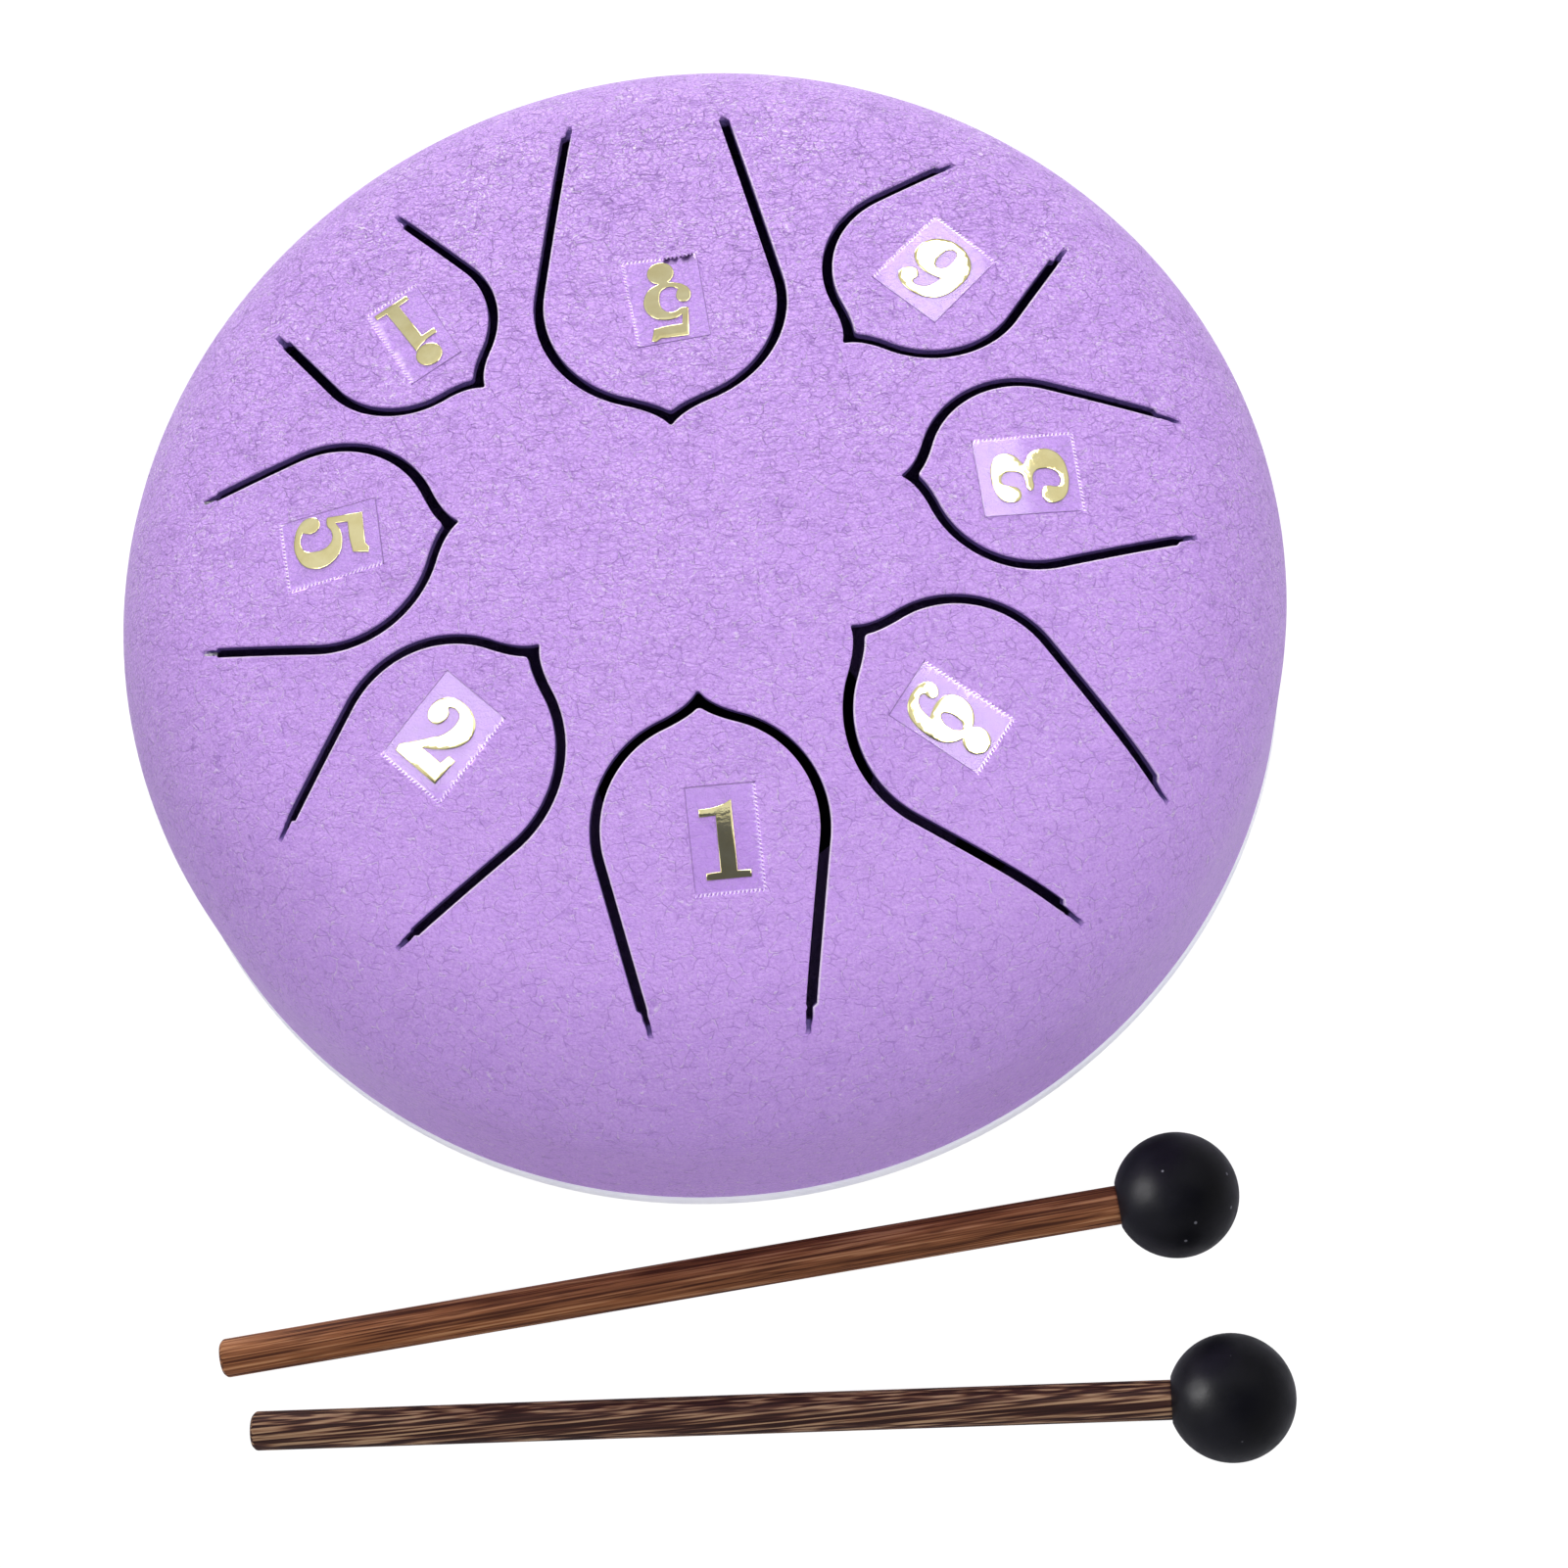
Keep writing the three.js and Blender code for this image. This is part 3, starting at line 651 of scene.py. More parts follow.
# %% Tongue slits in plan
# Azimuth in degrees, how far the tongue's own axis passes the drum's axis and where its tip is, in drum radii. Then for
# its left and its right side: width, taper of the leg in degrees, where the leg ends, the length of its tuning cut, and
# which edge of the slit the cut follows: 1 the outer one, -1 the inner one, 0 neither.
TONGUES = {
    "low_5": (89.3, 0.007, 0.152, (0.425, 8.7, 0.796, 0.024, -1), (0.394, 11.7, 0.780, 0.005, 0)),
    "6": (41.4, 0.012, 0.408, (0.352, 13.2, 0.804, 0.028, -1), (0.329, 13.1, 0.807, 0.037, 0.9)),
    "3": (0.4, 0.011, 0.374, (0.333, 17.1, 0.833, 0.042, -0.9), (0.340, 10.7, 0.832, 0.034, -0.3)),
    "low_6": (-41.0, -0.016, 0.365, (0.354, 15.7, 0.911, 0.035, -0.9), (0.396, 8.0, 0.913, 0.041, 0.9)),
    "1": (-89.8, 0.001, 0.343, (0.366, 10.9, 0.879, 0.041, -0.6), (0.368, 11.0, 0.863, 0.040, -0.6)),
    "2": (-137.2, -0.005, 0.343, (0.393, 9.9, 0.838, 0.038, -0.2), (0.369, 14.6, 0.833, 0.040, 0.8)),
    "5": (180.9, -0.021, 0.378, (0.363, 11.1, 0.814, 0.026, 0), (0.367, 14.4, 0.803, 0.026, 0)),
    "high_1": (135.5, 0.033, 0.417, (0.304, 9.7, 0.789, 0.027, 0.3), (0.326, -3.9, 0.784, 0.030, 0.8)),
}
print("tongues:", list(TONGUES))

# %% Edges of a slit
SLIT_WIDTH = 1.3
TUNING_CUT_WIDTH = 0.8
CUT_NARROWING = 0.1
CUT_ASIDE = (SLIT_WIDTH - TUNING_CUT_WIDTH) / 2
STEP_SLOPE = 0.35
FLANK_SLOPE = math.radians(20)
POINT_REACH = 1.2
POINT_DROP = 1.2
POINT_CUT = {1: 0.11, -1: 0.17}
FILE_WOBBLE = 0.07
LEG_STEP = 0.7


def slit_edge(tip, width, taper, offset):
    """One edge of a slit from the tongue's point round its end. X runs outwards along the tongue, Y across it."""
    flank_angle = math.pi / 2 - FLANK_SLOPE
    end_radius = width / 2
    centre_x = tip + POINT_DROP + end_radius / math.cos(FLANK_SLOPE)
    angles = np.linspace(flank_angle, -taper, 56)
    reach = end_radius + offset
    round_end = np.stack([centre_x - reach * np.sin(angles), reach * np.cos(angles)], 1)
    rise = math.tan(FLANK_SLOPE)
    bend = np.array([round_end[0, 0] - (round_end[0, 1] - POINT_REACH) * rise, POINT_REACH])
    half_angle = math.atan2(POINT_REACH, POINT_DROP + POINT_REACH * rise)
    point = np.array([tip - offset / math.sin(half_angle), 0])
    ogee = eased(point, bend, round_end[0], np.linspace(POINT_CUT[1 if offset > 0 else -1], 1, 22))
    return joined(rounded_point(ogee), ogee, round_end)


def rounded_point(ogee):
    """Half of the small round that joins an ogee to its mirror image across the tongue's axis."""
    start, ahead = ogee[0], ogee[1] - ogee[0]
    corner = np.array([start[0] - start[1] / ahead[1] * ahead[0], 0])
    return eased(start * (1, -1), corner, start, np.linspace(0.56, 1, 5))


def slit_side(tip, width, taper, root, cut, lean, sign, wobble):
    """One edge of a slit with its straight leg, the step to the narrow tuning cut, and the cut itself."""
    half, narrow = sign * SLIT_WIDTH / 2, sign * TUNING_CUT_WIDTH / 2
    edge = slit_edge(tip, width, taper, half)
    slope = -math.tan(taper)
    step = root - cut
    leg_x = np.linspace(edge[-1, 0], step, max(3, round((step - edge[-1, 0]) / LEG_STEP)))
    leg = np.stack([leg_x, edge[-1, 1] + (leg_x - edge[-1, 0]) * slope], 1)
    inset = (half - narrow - lean * CUT_ASIDE) / math.cos(taper)
    cut_x = np.linspace(step + min(STEP_SLOPE, cut / 2), root, max(3, round(cut / 0.4)))
    cut_y = edge[-1, 1] + (cut_x - edge[-1, 0]) * slope - inset
    cut_y -= sign * np.linspace(0, CUT_NARROWING, len(cut_x))
    cut_y += wobble.uniform(-FILE_WOBBLE, FILE_WOBBLE, len(cut_x))
    return np.concatenate([edge, leg[1:], np.stack([cut_x, cut_y], 1)])


# %% Whole slits
def turned(points, degrees):
    cosine, sine = math.cos(math.radians(degrees)), math.sin(math.radians(degrees))
    return points @ np.array([[cosine, sine], [-sine, cosine]])


def anticlockwise(outline):
    ahead = np.roll(outline, -1, 0)
    area = (outline[:, 0] * ahead[:, 1] - ahead[:, 0] * outline[:, 1]).sum()
    return outline if area > 0 else outline[::-1]


def slit_outline(name, wobble):
    """The closed outline of a slit in plan, clockwise, so that the metal is on its left."""
    azimuth, aside, tip, *legs = TONGUES[name]
    edges = {}
    for leg, (width, taper, root, cut, lean) in zip(("left", "right"), legs):
        width, root, cut = (v * DRUM_RADIUS for v in (width, root, cut))
        for side, sign in (("outer", 1), ("inner", -1)):
            sizes = (tip * DRUM_RADIUS, width, math.radians(taper), root, cut, lean)
            edges[side, leg] = slit_side(*sizes, sign, wobble)
    mirror = np.array([1, -1])
    outline = [edges["outer", "left"][::-1], edges["outer", "right"] * mirror]
    outline += [edges["inner", "right"][::-1] * mirror, edges["inner", "left"]]
    outline = anticlockwise(np.concatenate(outline))[::-1]
    return turned(outline + (0, aside * DRUM_RADIUS), azimuth)


wobble = np.random.default_rng(11)
SLITS = {name: slit_outline(name, wobble) for name in TONGUES}
print("points in the slit outlines:", {name: len(line) for name, line in SLITS.items()})


# %% Flat nets on the dome
def unrolled(plan):
    """Plan points moved onto the unrolled dome."""
    reach = np.linalg.norm(plan, axis=1)
    crown_part = DOME[:, 0] < DRUM_RADIUS - 1e-6
    way = np.interp(reach, DOME[crown_part, 0], DOME_RUN[crown_part])
    return plan * (way / reach)[:, None]


def circle(radius, count, centre=(0, 0), clockwise=False):
    angles = np.linspace(0, 2 * math.pi, count, endpoint=False)
    angles = angles[::-1] if clockwise else angles
    return np.array(centre) + radius * np.stack([np.cos(angles), np.sin(angles)], 1)


def lifted(flat, run, profile):
    """Unrolled points put back on a profile that is turned about the drum's axis."""
    way = np.linalg.norm(flat, axis=1)
    heading = np.arctan2(flat[:, 1], flat[:, 0])
    radius = np.interp(way, run, profile[:, 0])
    height = np.interp(way, run, profile[:, 1])
    return np.stack([DRUM_X + radius * np.cos(heading), DRUM_Y + radius * np.sin(heading), height], 1)


def ring_points(rings, spacing, run, profile):
    """Loose points on rings along the profile, each ring turned half a step from the one before."""
    points = [(0.0, 0.0)]
    for i, way in enumerate(rings):
        count = max(6, round(2 * math.pi * np.interp(way, run, profile[:, 0]) / spacing))
        points += turned(circle(way, count), 180 / count * (i % 2)).tolist()
    return np.array(points)


# %% Pressed sheets
EDGE_ROLL = 0.18
EDGE_ROWS = (0.05, 0.11, 0.18, 0.3)
# Painted highlight on the rolled edges: its width, and the direction that the lit edges face.
RIM_HIGHLIGHT_WIDTH = (0.15, 0.27)
HIGHLIGHT_TOWARDS = np.array((-0.74, 0.67))
EDGE_ROOM = 0.7


def edge_drop(gap):
    """How far the painted face rolls down towards a cut edge."""
    inside = np.clip(EDGE_ROLL - gap, 0, EDGE_ROLL)
    return EDGE_ROLL - np.sqrt(np.maximum(EDGE_ROLL**2 - inside**2, 0))


def pressed_shell(outer, inner, openings, loose, rim_points):
    """A sheet between two matching profiles, with openings and rolled paint edges. Returns its flat net, the points of
    both sides, its triangles, and a painted highlight along the edges of its openings that face the light."""
    run = run_along(outer)
    rim = circle(run[-1], rim_points)
    outlines = [rim, *openings]
    rows = [beside(line, distance) for line in outlines for distance in EDGE_ROWS]
    loose = loose[gap_to(outlines, loose) > EDGE_ROOM]
    flat, triangles = fill([rim], openings, rows, loose)
    face, back = lifted(flat, run, outer), lifted(flat, run, inner)
    gap = gap_to(outlines, flat)
    face = face + (back - face) * (edge_drop(gap) / SHEET)[:, None]
    gap, into_opening = nearest_edge(openings, flat)
    # Painted highlight: only on edges that face the light.
    painted_highlight = np.interp(gap, RIM_HIGHLIGHT_WIDTH, (1, 0)) * np.clip(1.3 * into_opening @ HIGHLIGHT_TOWARDS, 0, 1)
    return flat, face, back, triangles, painted_highlight


def add_attribute(piece, name, on_face, on_back):
    """A value for every point of a shell: first those of its face, then those of its back."""
    values = np.concatenate([on_face, on_back]).astype(np.float32)
    piece.data.attributes.new(name, "FLOAT", "POINT").data.foreach_set("value", values)


# %% Upper shell
CROWN_END, WALL_START, WALL_END = DOME_RUN[[CROWN_STEPS, CROWN_STEPS + SHOULDER_STEPS, -1]]
CROWN_RINGS = np.arange(2.2, CROWN_END, 2.2)
SHOULDER_RINGS = np.linspace(CROWN_END, WALL_START, 22)
WALL_RINGS = np.linspace(WALL_START, WALL_END, 8)[1:-1]
RIM_POINTS = 260
CUT_FADE = (1.8, 3.6)


def cut_spot(name, side, back):
    """A point on the middle of a tuning cut in plan, so far back from its end."""
    azimuth, aside, tip, *legs = TONGUES[name]
    width, taper, root, _, lean = legs[side]
    end_radius, taper = width * DRUM_RADIUS / 2, math.radians(taper)
    along = root * DRUM_RADIUS - back
    leg_start = tip * DRUM_RADIUS + POINT_DROP + end_radius / math.cos(FLANK_SLOPE) + end_radius * math.sin(taper)
    across = end_radius * math.cos(taper) - (along - leg_start) * math.tan(taper) + lean * CUT_ASIDE / math.cos(taper)
    return turned(np.array([along, across * (1, -1)[side] + aside * DRUM_RADIUS]), azimuth)


rings = np.concatenate([CROWN_RINGS, SHOULDER_RINGS, WALL_RINGS])
loose = ring_points(rings, 2.0, DOME_RUN, DOME)
slits = [unrolled(line) for line in SLITS.values()]
flat, face, back, triangles, edge = pressed_shell(DOME, dome_profile(SHEET), slits, loose, RIM_POINTS)
points, faces = slab(face, back, triangles)
upper = new_piece("upper_shell_painted", points, faces, PAINT, "drum", ["upper_shell"])

cut_ends = unrolled(np.array([cut_spot(name, side, 0) for name in TONGUES for side in (0, 1)]))
from_cut = np.linalg.norm(flat[:, None] - cut_ends, axis=2).min(1)
# The edge attribute holds the painted edge highlight, which fades out near the ends of the tuning cuts.
add_attribute(upper, "edge", edge * np.interp(from_cut, CUT_FADE, (0, 1)), np.zeros(len(flat)))
add_attribute(upper, "depth", np.zeros(len(flat)), np.ones(len(flat)))

# %% [markdown]
# ## Ends of the tuning cuts
#
# The maker tunes a tongue by lengthening its slit with a thin cutting disc, which leaves a short ramp at the end of the
# cut. The paint came later and covers the ramp, so the slit fades into the face there. The cuts beside one tongue were
# made after painting and show bright steel. The ramps are a piece of their own, because they lie below the face.

# %% Ramps in the tuning cuts
BARE_TONGUE, BARE_SHARE = "5", 0.74
RAMP_BACK = np.array((1.3, 0.9, 0.4, -0.03))
RAMP_DEPTHS = np.array((1.15, 0.85, 0.45, 0.09))
# How far each ramp point takes the darker wall tone, more the deeper it lies.
RAMP_SHADES = np.array((0.3, 0.2, 0.13, 0.08))
RAMP_THICKNESS = 0.3

inner_dome = dome_profile(SHEET)
ramp_points, ramp_faces, bare, shades = [], [], [], []
for name, (_, _, _, *legs) in TONGUES.items():
    for side, (_, _, _, cut, _) in enumerate(legs):
        reach = RAMP_BACK * min(1, 0.8 * cut * DRUM_RADIUS / RAMP_BACK[0])
        middle = np.array([cut_spot(name, side, back) for back in reach])
        ahead = (middle[-1] - middle[0]) / np.linalg.norm(middle[-1] - middle[0])
        across = np.array([-ahead[1], ahead[0]]) * (TUNING_CUT_WIDTH / 2 + FILE_WOBBLE)
        plan = unrolled(np.concatenate([middle - across, middle + across]))
        face, back = lifted(plan, DOME_RUN, DOME), lifted(plan, DOME_RUN, inner_dome)
        depths = np.tile(RAMP_DEPTHS, 2)[:, None] / SHEET
        high, low = (face + (back - face) * (depths + more / SHEET) for more in (0, RAMP_THICKNESS))
        strip = [t for i in range(3) for t in ((i, i + 1, i + 5), (i, i + 5, i + 4))]
        solid, faces = slab(high, low, np.array(strip))
        ramp_faces += [[v + len(solid) * len(ramp_points) for v in f] for f in faces]
        ramp_points.append(solid)
        bare += [BARE_SHARE if name == BARE_TONGUE else 0.0] * len(solid)
        shades += np.tile(RAMP_SHADES, 4).tolist()
ramps = new_piece("tuning_cut_ramps", np.concatenate(ramp_points), ramp_faces, PAINT, "drum")
add_attribute(ramps, "bare", bare, [])
add_attribute(ramps, "depth", shades, [])

# %% [markdown]
# ## Lower shell
#
# The lower half is a dish of the same sheet and paint. Its flat floor has a round sound hole and three small holes for
# the feet, and its edge steps in to a lip that nests inside the upper shell. It is made by the same steps, with a
# profile that starts in the middle of the floor.

# %% Lower shell
FOOT_HEIGHT = 5.0
LEDGE_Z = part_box("seam_ring")[0].z / MM
LOWER_SHOULDER_RADIUS = 24.0
LOWER_WALL_SLOPE = math.radians(17)
SOUND_HOLE_RADIUS = 21.0
LIP_HEIGHT = 7.0
LIP_RADIUS = DRUM_RADIUS - SHEET - 0.3
LEDGE_RADIUS = LIP_RADIUS + 0.9
BEND = 0.3
FOOT_CIRCLE_RADIUS = 40.0
FOOT_AZIMUTHS = (90, 210, 330)
FOOT_HOLE_RADIUS = 3.3


def dish_profile(inset):
    """Floor, shoulder, sloping wall, ledge and lip, moved in by the inset."""
    centre_z = FOOT_HEIGHT + LOWER_SHOULDER_RADIUS
    fall = (LEDGE_Z - centre_z) * math.sin(LOWER_WALL_SLOPE) + LOWER_SHOULDER_RADIUS
    centre = (LEDGE_RADIUS - fall / math.cos(LOWER_WALL_SLOPE), centre_z)
    floor_z, ledge_z, lip_r = FOOT_HEIGHT + inset, LEDGE_Z - inset, LIP_RADIUS - inset
    thinner = inset * (1 + math.sin(LOWER_WALL_SLOPE)) / math.cos(LOWER_WALL_SLOPE)
    ledge_r = LEDGE_RADIUS - thinner
    floor_run = straight((0, floor_z), (centre[0], floor_z), 40)
    shoulder = arc(centre, LOWER_SHOULDER_RADIUS - inset, math.pi, math.pi / 2 + LOWER_WALL_SLOPE, 90)
    down = np.array((-math.sin(LOWER_WALL_SLOPE), -math.cos(LOWER_WALL_SLOPE)))
    wall_top = np.array((ledge_r, ledge_z)) + BEND * down
    wall = straight(shoulder[-1], wall_top, 40)
    bend_end = np.array((max(ledge_r - BEND, lip_r), ledge_z))
    ledge_bend = eased(wall_top, np.array((ledge_r, ledge_z)), bend_end, np.linspace(0, 1, 7))
    ledge = straight(bend_end, (lip_r, ledge_z), 4)
    lip = straight((lip_r, ledge_z), (lip_r, SEAM_Z + LIP_HEIGHT), 24)
    return joined(floor_run, shoulder, wall, ledge_bend, ledge, lip)


DISH = dish_profile(0)
DISH_RUN = run_along(DISH)
STOPS = {"floor": 40, "shoulder": 130, "wall": 170, "bend": 176, "ledge": 180}
floor_rings = np.arange(SOUND_HOLE_RADIUS + 1.5, DISH_RUN[STOPS["floor"]], 2.4)
shoulder_rings = np.linspace(DISH_RUN[STOPS["floor"]], DISH_RUN[STOPS["shoulder"]], 26)
edge_rings = DISH_RUN[[140, 150, 160, STOPS["wall"], 172, 174, STOPS["bend"], STOPS["ledge"], 192]]
rings = np.concatenate([floor_rings, shoulder_rings, edge_rings])
openings = [circle(SOUND_HOLE_RADIUS, 120, clockwise=True)]
for azimuth in FOOT_AZIMUTHS:
    middle = turned(np.array([[FOOT_CIRCLE_RADIUS, 0.0]]), azimuth)[0]
    openings.append(circle(FOOT_HOLE_RADIUS, 32, middle, clockwise=True))
loose = ring_points(rings, 2.0, DISH_RUN, DISH)
flat, face, back, triangles, edge = pressed_shell(DISH, dish_profile(SHEET), openings, loose, RIM_POINTS)
points, faces = slab(face, back, triangles[:, ::-1])
lower = new_piece("lower_shell_painted", points, faces, PAINT, "drum", ["lower_shell"])
# The edge attribute holds the painted edge highlight.
add_attribute(lower, "edge", edge, np.zeros(len(flat)))
add_attribute(lower, "depth", np.zeros(len(flat)), np.ones(len(flat)))

# %% [markdown]
# ## Seam ring
#
# A soft pale ring sits between the two shells and shows as a thin light line below the painted edge. It is one section
# swept round a circle, which is what Curve to Mesh does in Geometry Nodes: a rounded rectangle is the section, and the
# circle is the path. The sizes are inputs of the tree, so another drum needs no new nodes. Silicone lets light from
# the white table through. Subsurface scattering would find the dark inside of the drum behind so thin a ring, so a
# faint glow stands in for that light.


# %% Geometry Nodes helpers
def new_tree(name, inputs):
    """An empty Geometry Nodes tree with named inputs. Returns the tree, its input node and the inputs' identifiers."""
    tree = bpy.data.node_groups.new(name, "GeometryNodeTree")
    tree.interface.new_socket("Geometry", in_out="OUTPUT", socket_type="NodeSocketGeometry")
    keys = {}
    for label, kind in inputs.items():
        keys[label] = tree.interface.new_socket(label, in_out="INPUT", socket_type="NodeSocket" + kind).identifier
    return tree, tree.nodes.new("NodeGroupInput").outputs, keys


def step(tree, kind, inputs=None, **settings):
    """One Geometry Nodes node, linked to what feeds it."""
    return add_node(tree, kind, inputs, **settings).outputs


def finish_tree(tree, geometry, material):
    """Every tree ends in Realize Instances and Set Material."""
    whole = step(tree, "GeometryNodeRealizeInstances", {"Geometry": geometry})["Geometry"]
    painted = step(tree, "GeometryNodeSetMaterial", {"Geometry": whole, "Material": material})["Geometry"]
    out = tree.nodes.new("NodeGroupOutput")
    tree.links.new(painted, out.inputs["Geometry"])


def grown(name, tree, keys, values):
    """An object with the tree as its modifier, its inputs set, turned into a plain mesh."""
    piece = bpy.data.objects.new(name, bpy.data.meshes.new(name))
    scene.collection.objects.link(piece)
    modifier = piece.modifiers.new("tree", "NODES")
    modifier.node_group = tree
    for label, value in values.items():
        modifier[keys[label]] = value
    graph = bpy.context.evaluated_depsgraph_get()
    mesh = bpy.data.meshes.new_from_object(piece.evaluated_get(graph))
    piece.modifiers.clear()
    piece.data = mesh
    mesh.shade_smooth()
    mesh.set_sharp_from_angle(angle=CREASE)
    return piece


# %% Pale silicone
RING_TONE = colour(250, 250, 253)
RING_SHADE = colour(240, 240, 247)
RING_GLOW = 0.17


def pale_silicone():
    material, tree, shader = new_material("pale_silicone")
    where = shade(tree, "TexCoord").outputs["Object"]
    tone = ramp(tree, noise(tree, where, 240, 3), [(0.35, RING_SHADE), (0.65, RING_TONE)])
    rough = between(tree, noise(tree, where, 900), 0.3, 0.7, 0.38, 0.55)
    bump = shade(tree, "Bump", {"Strength": 0.2, "Distance": 0.00006, "Height": noise(tree, where, 1300)})
    feed(tree, shader, {"Base Color": tone, "Roughness": rough, "Normal": bump.outputs[0]})
    feed(tree, shader, {"Specular IOR Level": 0.7, "Emission Color": tone, "Emission Strength": RING_GLOW})
    return material


SILICONE = pale_silicone()
print(SILICONE.name, len(SILICONE.node_tree.nodes), "nodes")

# %% Seam ring
RING_INSIDE = LIP_RADIUS + 0.3
RING_BULGE = 0.2
RING_ROUND = 0.62
RING_SEGMENTS, RING_CORNER_STEPS = 240, 5

ring_inputs = {"Path Radius": "Float", "Width": "Float", "Height": "Float", "Round": "Float"}
tree, given, keys = new_tree("swept_ring", {**ring_inputs, "Place": "Vector", "Material": "Material"})
round_path = {"Resolution": RING_SEGMENTS, "Radius": given["Path Radius"]}
path = step(tree, "GeometryNodeCurvePrimitiveCircle", round_path, mode="RADIUS")
section = step(tree, "GeometryNodeCurvePrimitiveQuadrilateral", {"Width": given["Width"], "Height": given["Height"]})
corner = {"Curve": section["Curve"], "Count": RING_CORNER_STEPS, "Radius": given["Round"]}
rounded = step(tree, "GeometryNodeFilletCurve", corner, mode="POLY")
swept = step(tree, "GeometryNodeCurveToMesh", {"Curve": path["Curve"], "Profile Curve": rounded["Curve"]})
placed = step(tree, "GeometryNodeTransform", {"Geometry": swept["Mesh"], "Translation": given["Place"]})
finish_tree(tree, placed["Geometry"], given["Material"])

ring_width = DRUM_RADIUS + RING_BULGE - RING_INSIDE
ring_height = SEAM_Z - LEDGE_Z
ring_middle = (DRUM_X * MM, DRUM_Y * MM, (LEDGE_Z + SEAM_Z) / 2 * MM)
values = {"Path Radius": (RING_INSIDE + ring_width / 2) * MM, "Width": ring_width * MM, "Height": ring_height * MM}
values |= {"Round": RING_ROUND * MM, "Place": ring_middle, "Material": SILICONE}
ring = grown("seam_ring_silicone", tree, keys, values)
settle(ring, "drum", ["seam_ring"])
ring_low, ring_high = (Vector(c) for c in (ring.bound_box[0], ring.bound_box[6]))
print("ring reaches", [round(v / MM, 2) for v in (ring_high - ring_low)], "mm")

# %% [markdown]
# ## Feet
#
# Three push-in rubber feet keep the drum off the table. One foot is turned from its profile, and Geometry Nodes put a
# copy at each corner of a three-point circle. Copying objects in a loop would work as well, but the tree states the
# rule: so many feet, on a circle of that radius. The rubber is near black, with a fine moulded skin, a slightly uneven
# tone and a few specks of dust. The mallets' balls get the same finish, blacker and smoother.


# %% Turned shapes
def lathe(profile, segments):
    """A profile of (radius, height) points turned about the Z axis. Points on the axis become single poles."""
    angles = np.linspace(0, 2 * math.pi, segments, endpoint=False)
    points, rows = [], []
    for radius, height in profile:
        row = [len(points)]
        if radius < 1e-9:
            points.append((0, 0, height))
        else:
            row = list(range(len(points), len(points) + segments))
            points += [(radius * math.cos(a), radius * math.sin(a), height) for a in angles]
        rows.append(row)
    faces = []
    for low, high in zip(rows, rows[1:]):
        for i in range(segments):
            j = (i + 1) % segments
            quad = [low[i % len(low)], low[j % len(low)], high[j % len(high)], high[i % len(high)]]
            faces.append([v for k, v in enumerate(quad) if v not in quad[:k]])
    return np.array(points), faces


def rounded_corners(corners, radii, steps=5):
    """A profile through the corners, each rounded by its own radius."""
    at = [np.array(c, float) for c in corners]
    points = [at[0]]
    for before, corner, after, radius in zip(at, at[1:], at[2:], radii):
        into = (before - corner) / np.linalg.norm(before - corner)
        out = (after - corner) / np.linalg.norm(after - corner)
        points += list(eased(corner + into * radius, corner, corner + out * radius, np.linspace(0, 1, steps + 1)))
    return points + [at[-1]]


# %% Black rubber
FOOT_BLACK = colour(30, 29, 31)
FOOT_GREY = colour(52, 51, 54)
HEAD_BLACK = colour(8, 8, 12)
HEAD_GREY = colour(17, 17, 23)
DUST = colour(120, 120, 126)


def black_rubber(name, dark, light, roughness, sheen):
    """Matt rubber: a fine moulded skin, slightly uneven in tone, with a few specks of dust."""
    material, tree, shader = new_material(name)
    where = shade(tree, "TexCoord").outputs["Object"]
    tone = ramp(tree, noise(tree, where, 130, 4), [(0.3, dark), (0.75, light)])
    dots = shade(tree, "TexVoronoi", {"Vector": where, "Scale": 210}, feature="F1").outputs["Distance"]
    dust = between(tree, dots, 0.035, 0.055, 0.8, 0.0)
    tone = mix(tree, dust, tone, DUST)
    skin = math_node(tree, "ADD", noise(tree, where, 2600, 3), noise(tree, where, 500, 2))
    bump = shade(tree, "Bump", {"Strength": 0.2, "Distance": 0.00007, "Height": skin})
    rough = between(tree, noise(tree, where, 400, 3), 0.3, 0.7, roughness - 0.06, roughness + 0.08)
    feed(tree, shader, {"Base Color": tone, "Roughness": rough, "Normal": bump.outputs[0]})
    feed(tree, shader, {"Specular IOR Level": sheen})
    return material


FOOT_RUBBER = black_rubber("foot_rubber", FOOT_BLACK, FOOT_GREY, 0.72, 0.3)
HEAD_RUBBER = black_rubber("ball_rubber", HEAD_BLACK, HEAD_GREY, 0.4, 0.13)
print(FOOT_RUBBER.name, HEAD_RUBBER.name)

# %% Feet
FOOT_BASE_RADIUS, FOOT_TOP_RADIUS = 6.5, 7.5
STEM_RADIUS, BULB_RADIUS, BULB_TIP_RADIUS = 3.0, 4.2, 2.0
BULB_Z = FOOT_HEIGHT + SHEET + 0.3
BULB_HEIGHT = 4.0

bulb_top = BULB_Z + BULB_HEIGHT
corners = [(0, 0), (FOOT_BASE_RADIUS, 0), (FOOT_TOP_RADIUS, FOOT_HEIGHT), (STEM_RADIUS, FOOT_HEIGHT)]
corners += [(STEM_RADIUS, BULB_Z), (BULB_RADIUS, BULB_Z), (BULB_TIP_RADIUS, bulb_top), (0, bulb_top)]
foot_profile = rounded_corners(corners, (1.0, 0.5, 0.05, 0.05, 0.4, 0.9))
points, faces = lathe(foot_profile, 40)
foot_mesh = bpy.data.meshes.new("foot_shape")
foot_mesh.from_pydata((points * MM).tolist(), [], faces)
foot_shape = bpy.data.objects.new("foot_shape", foot_mesh)

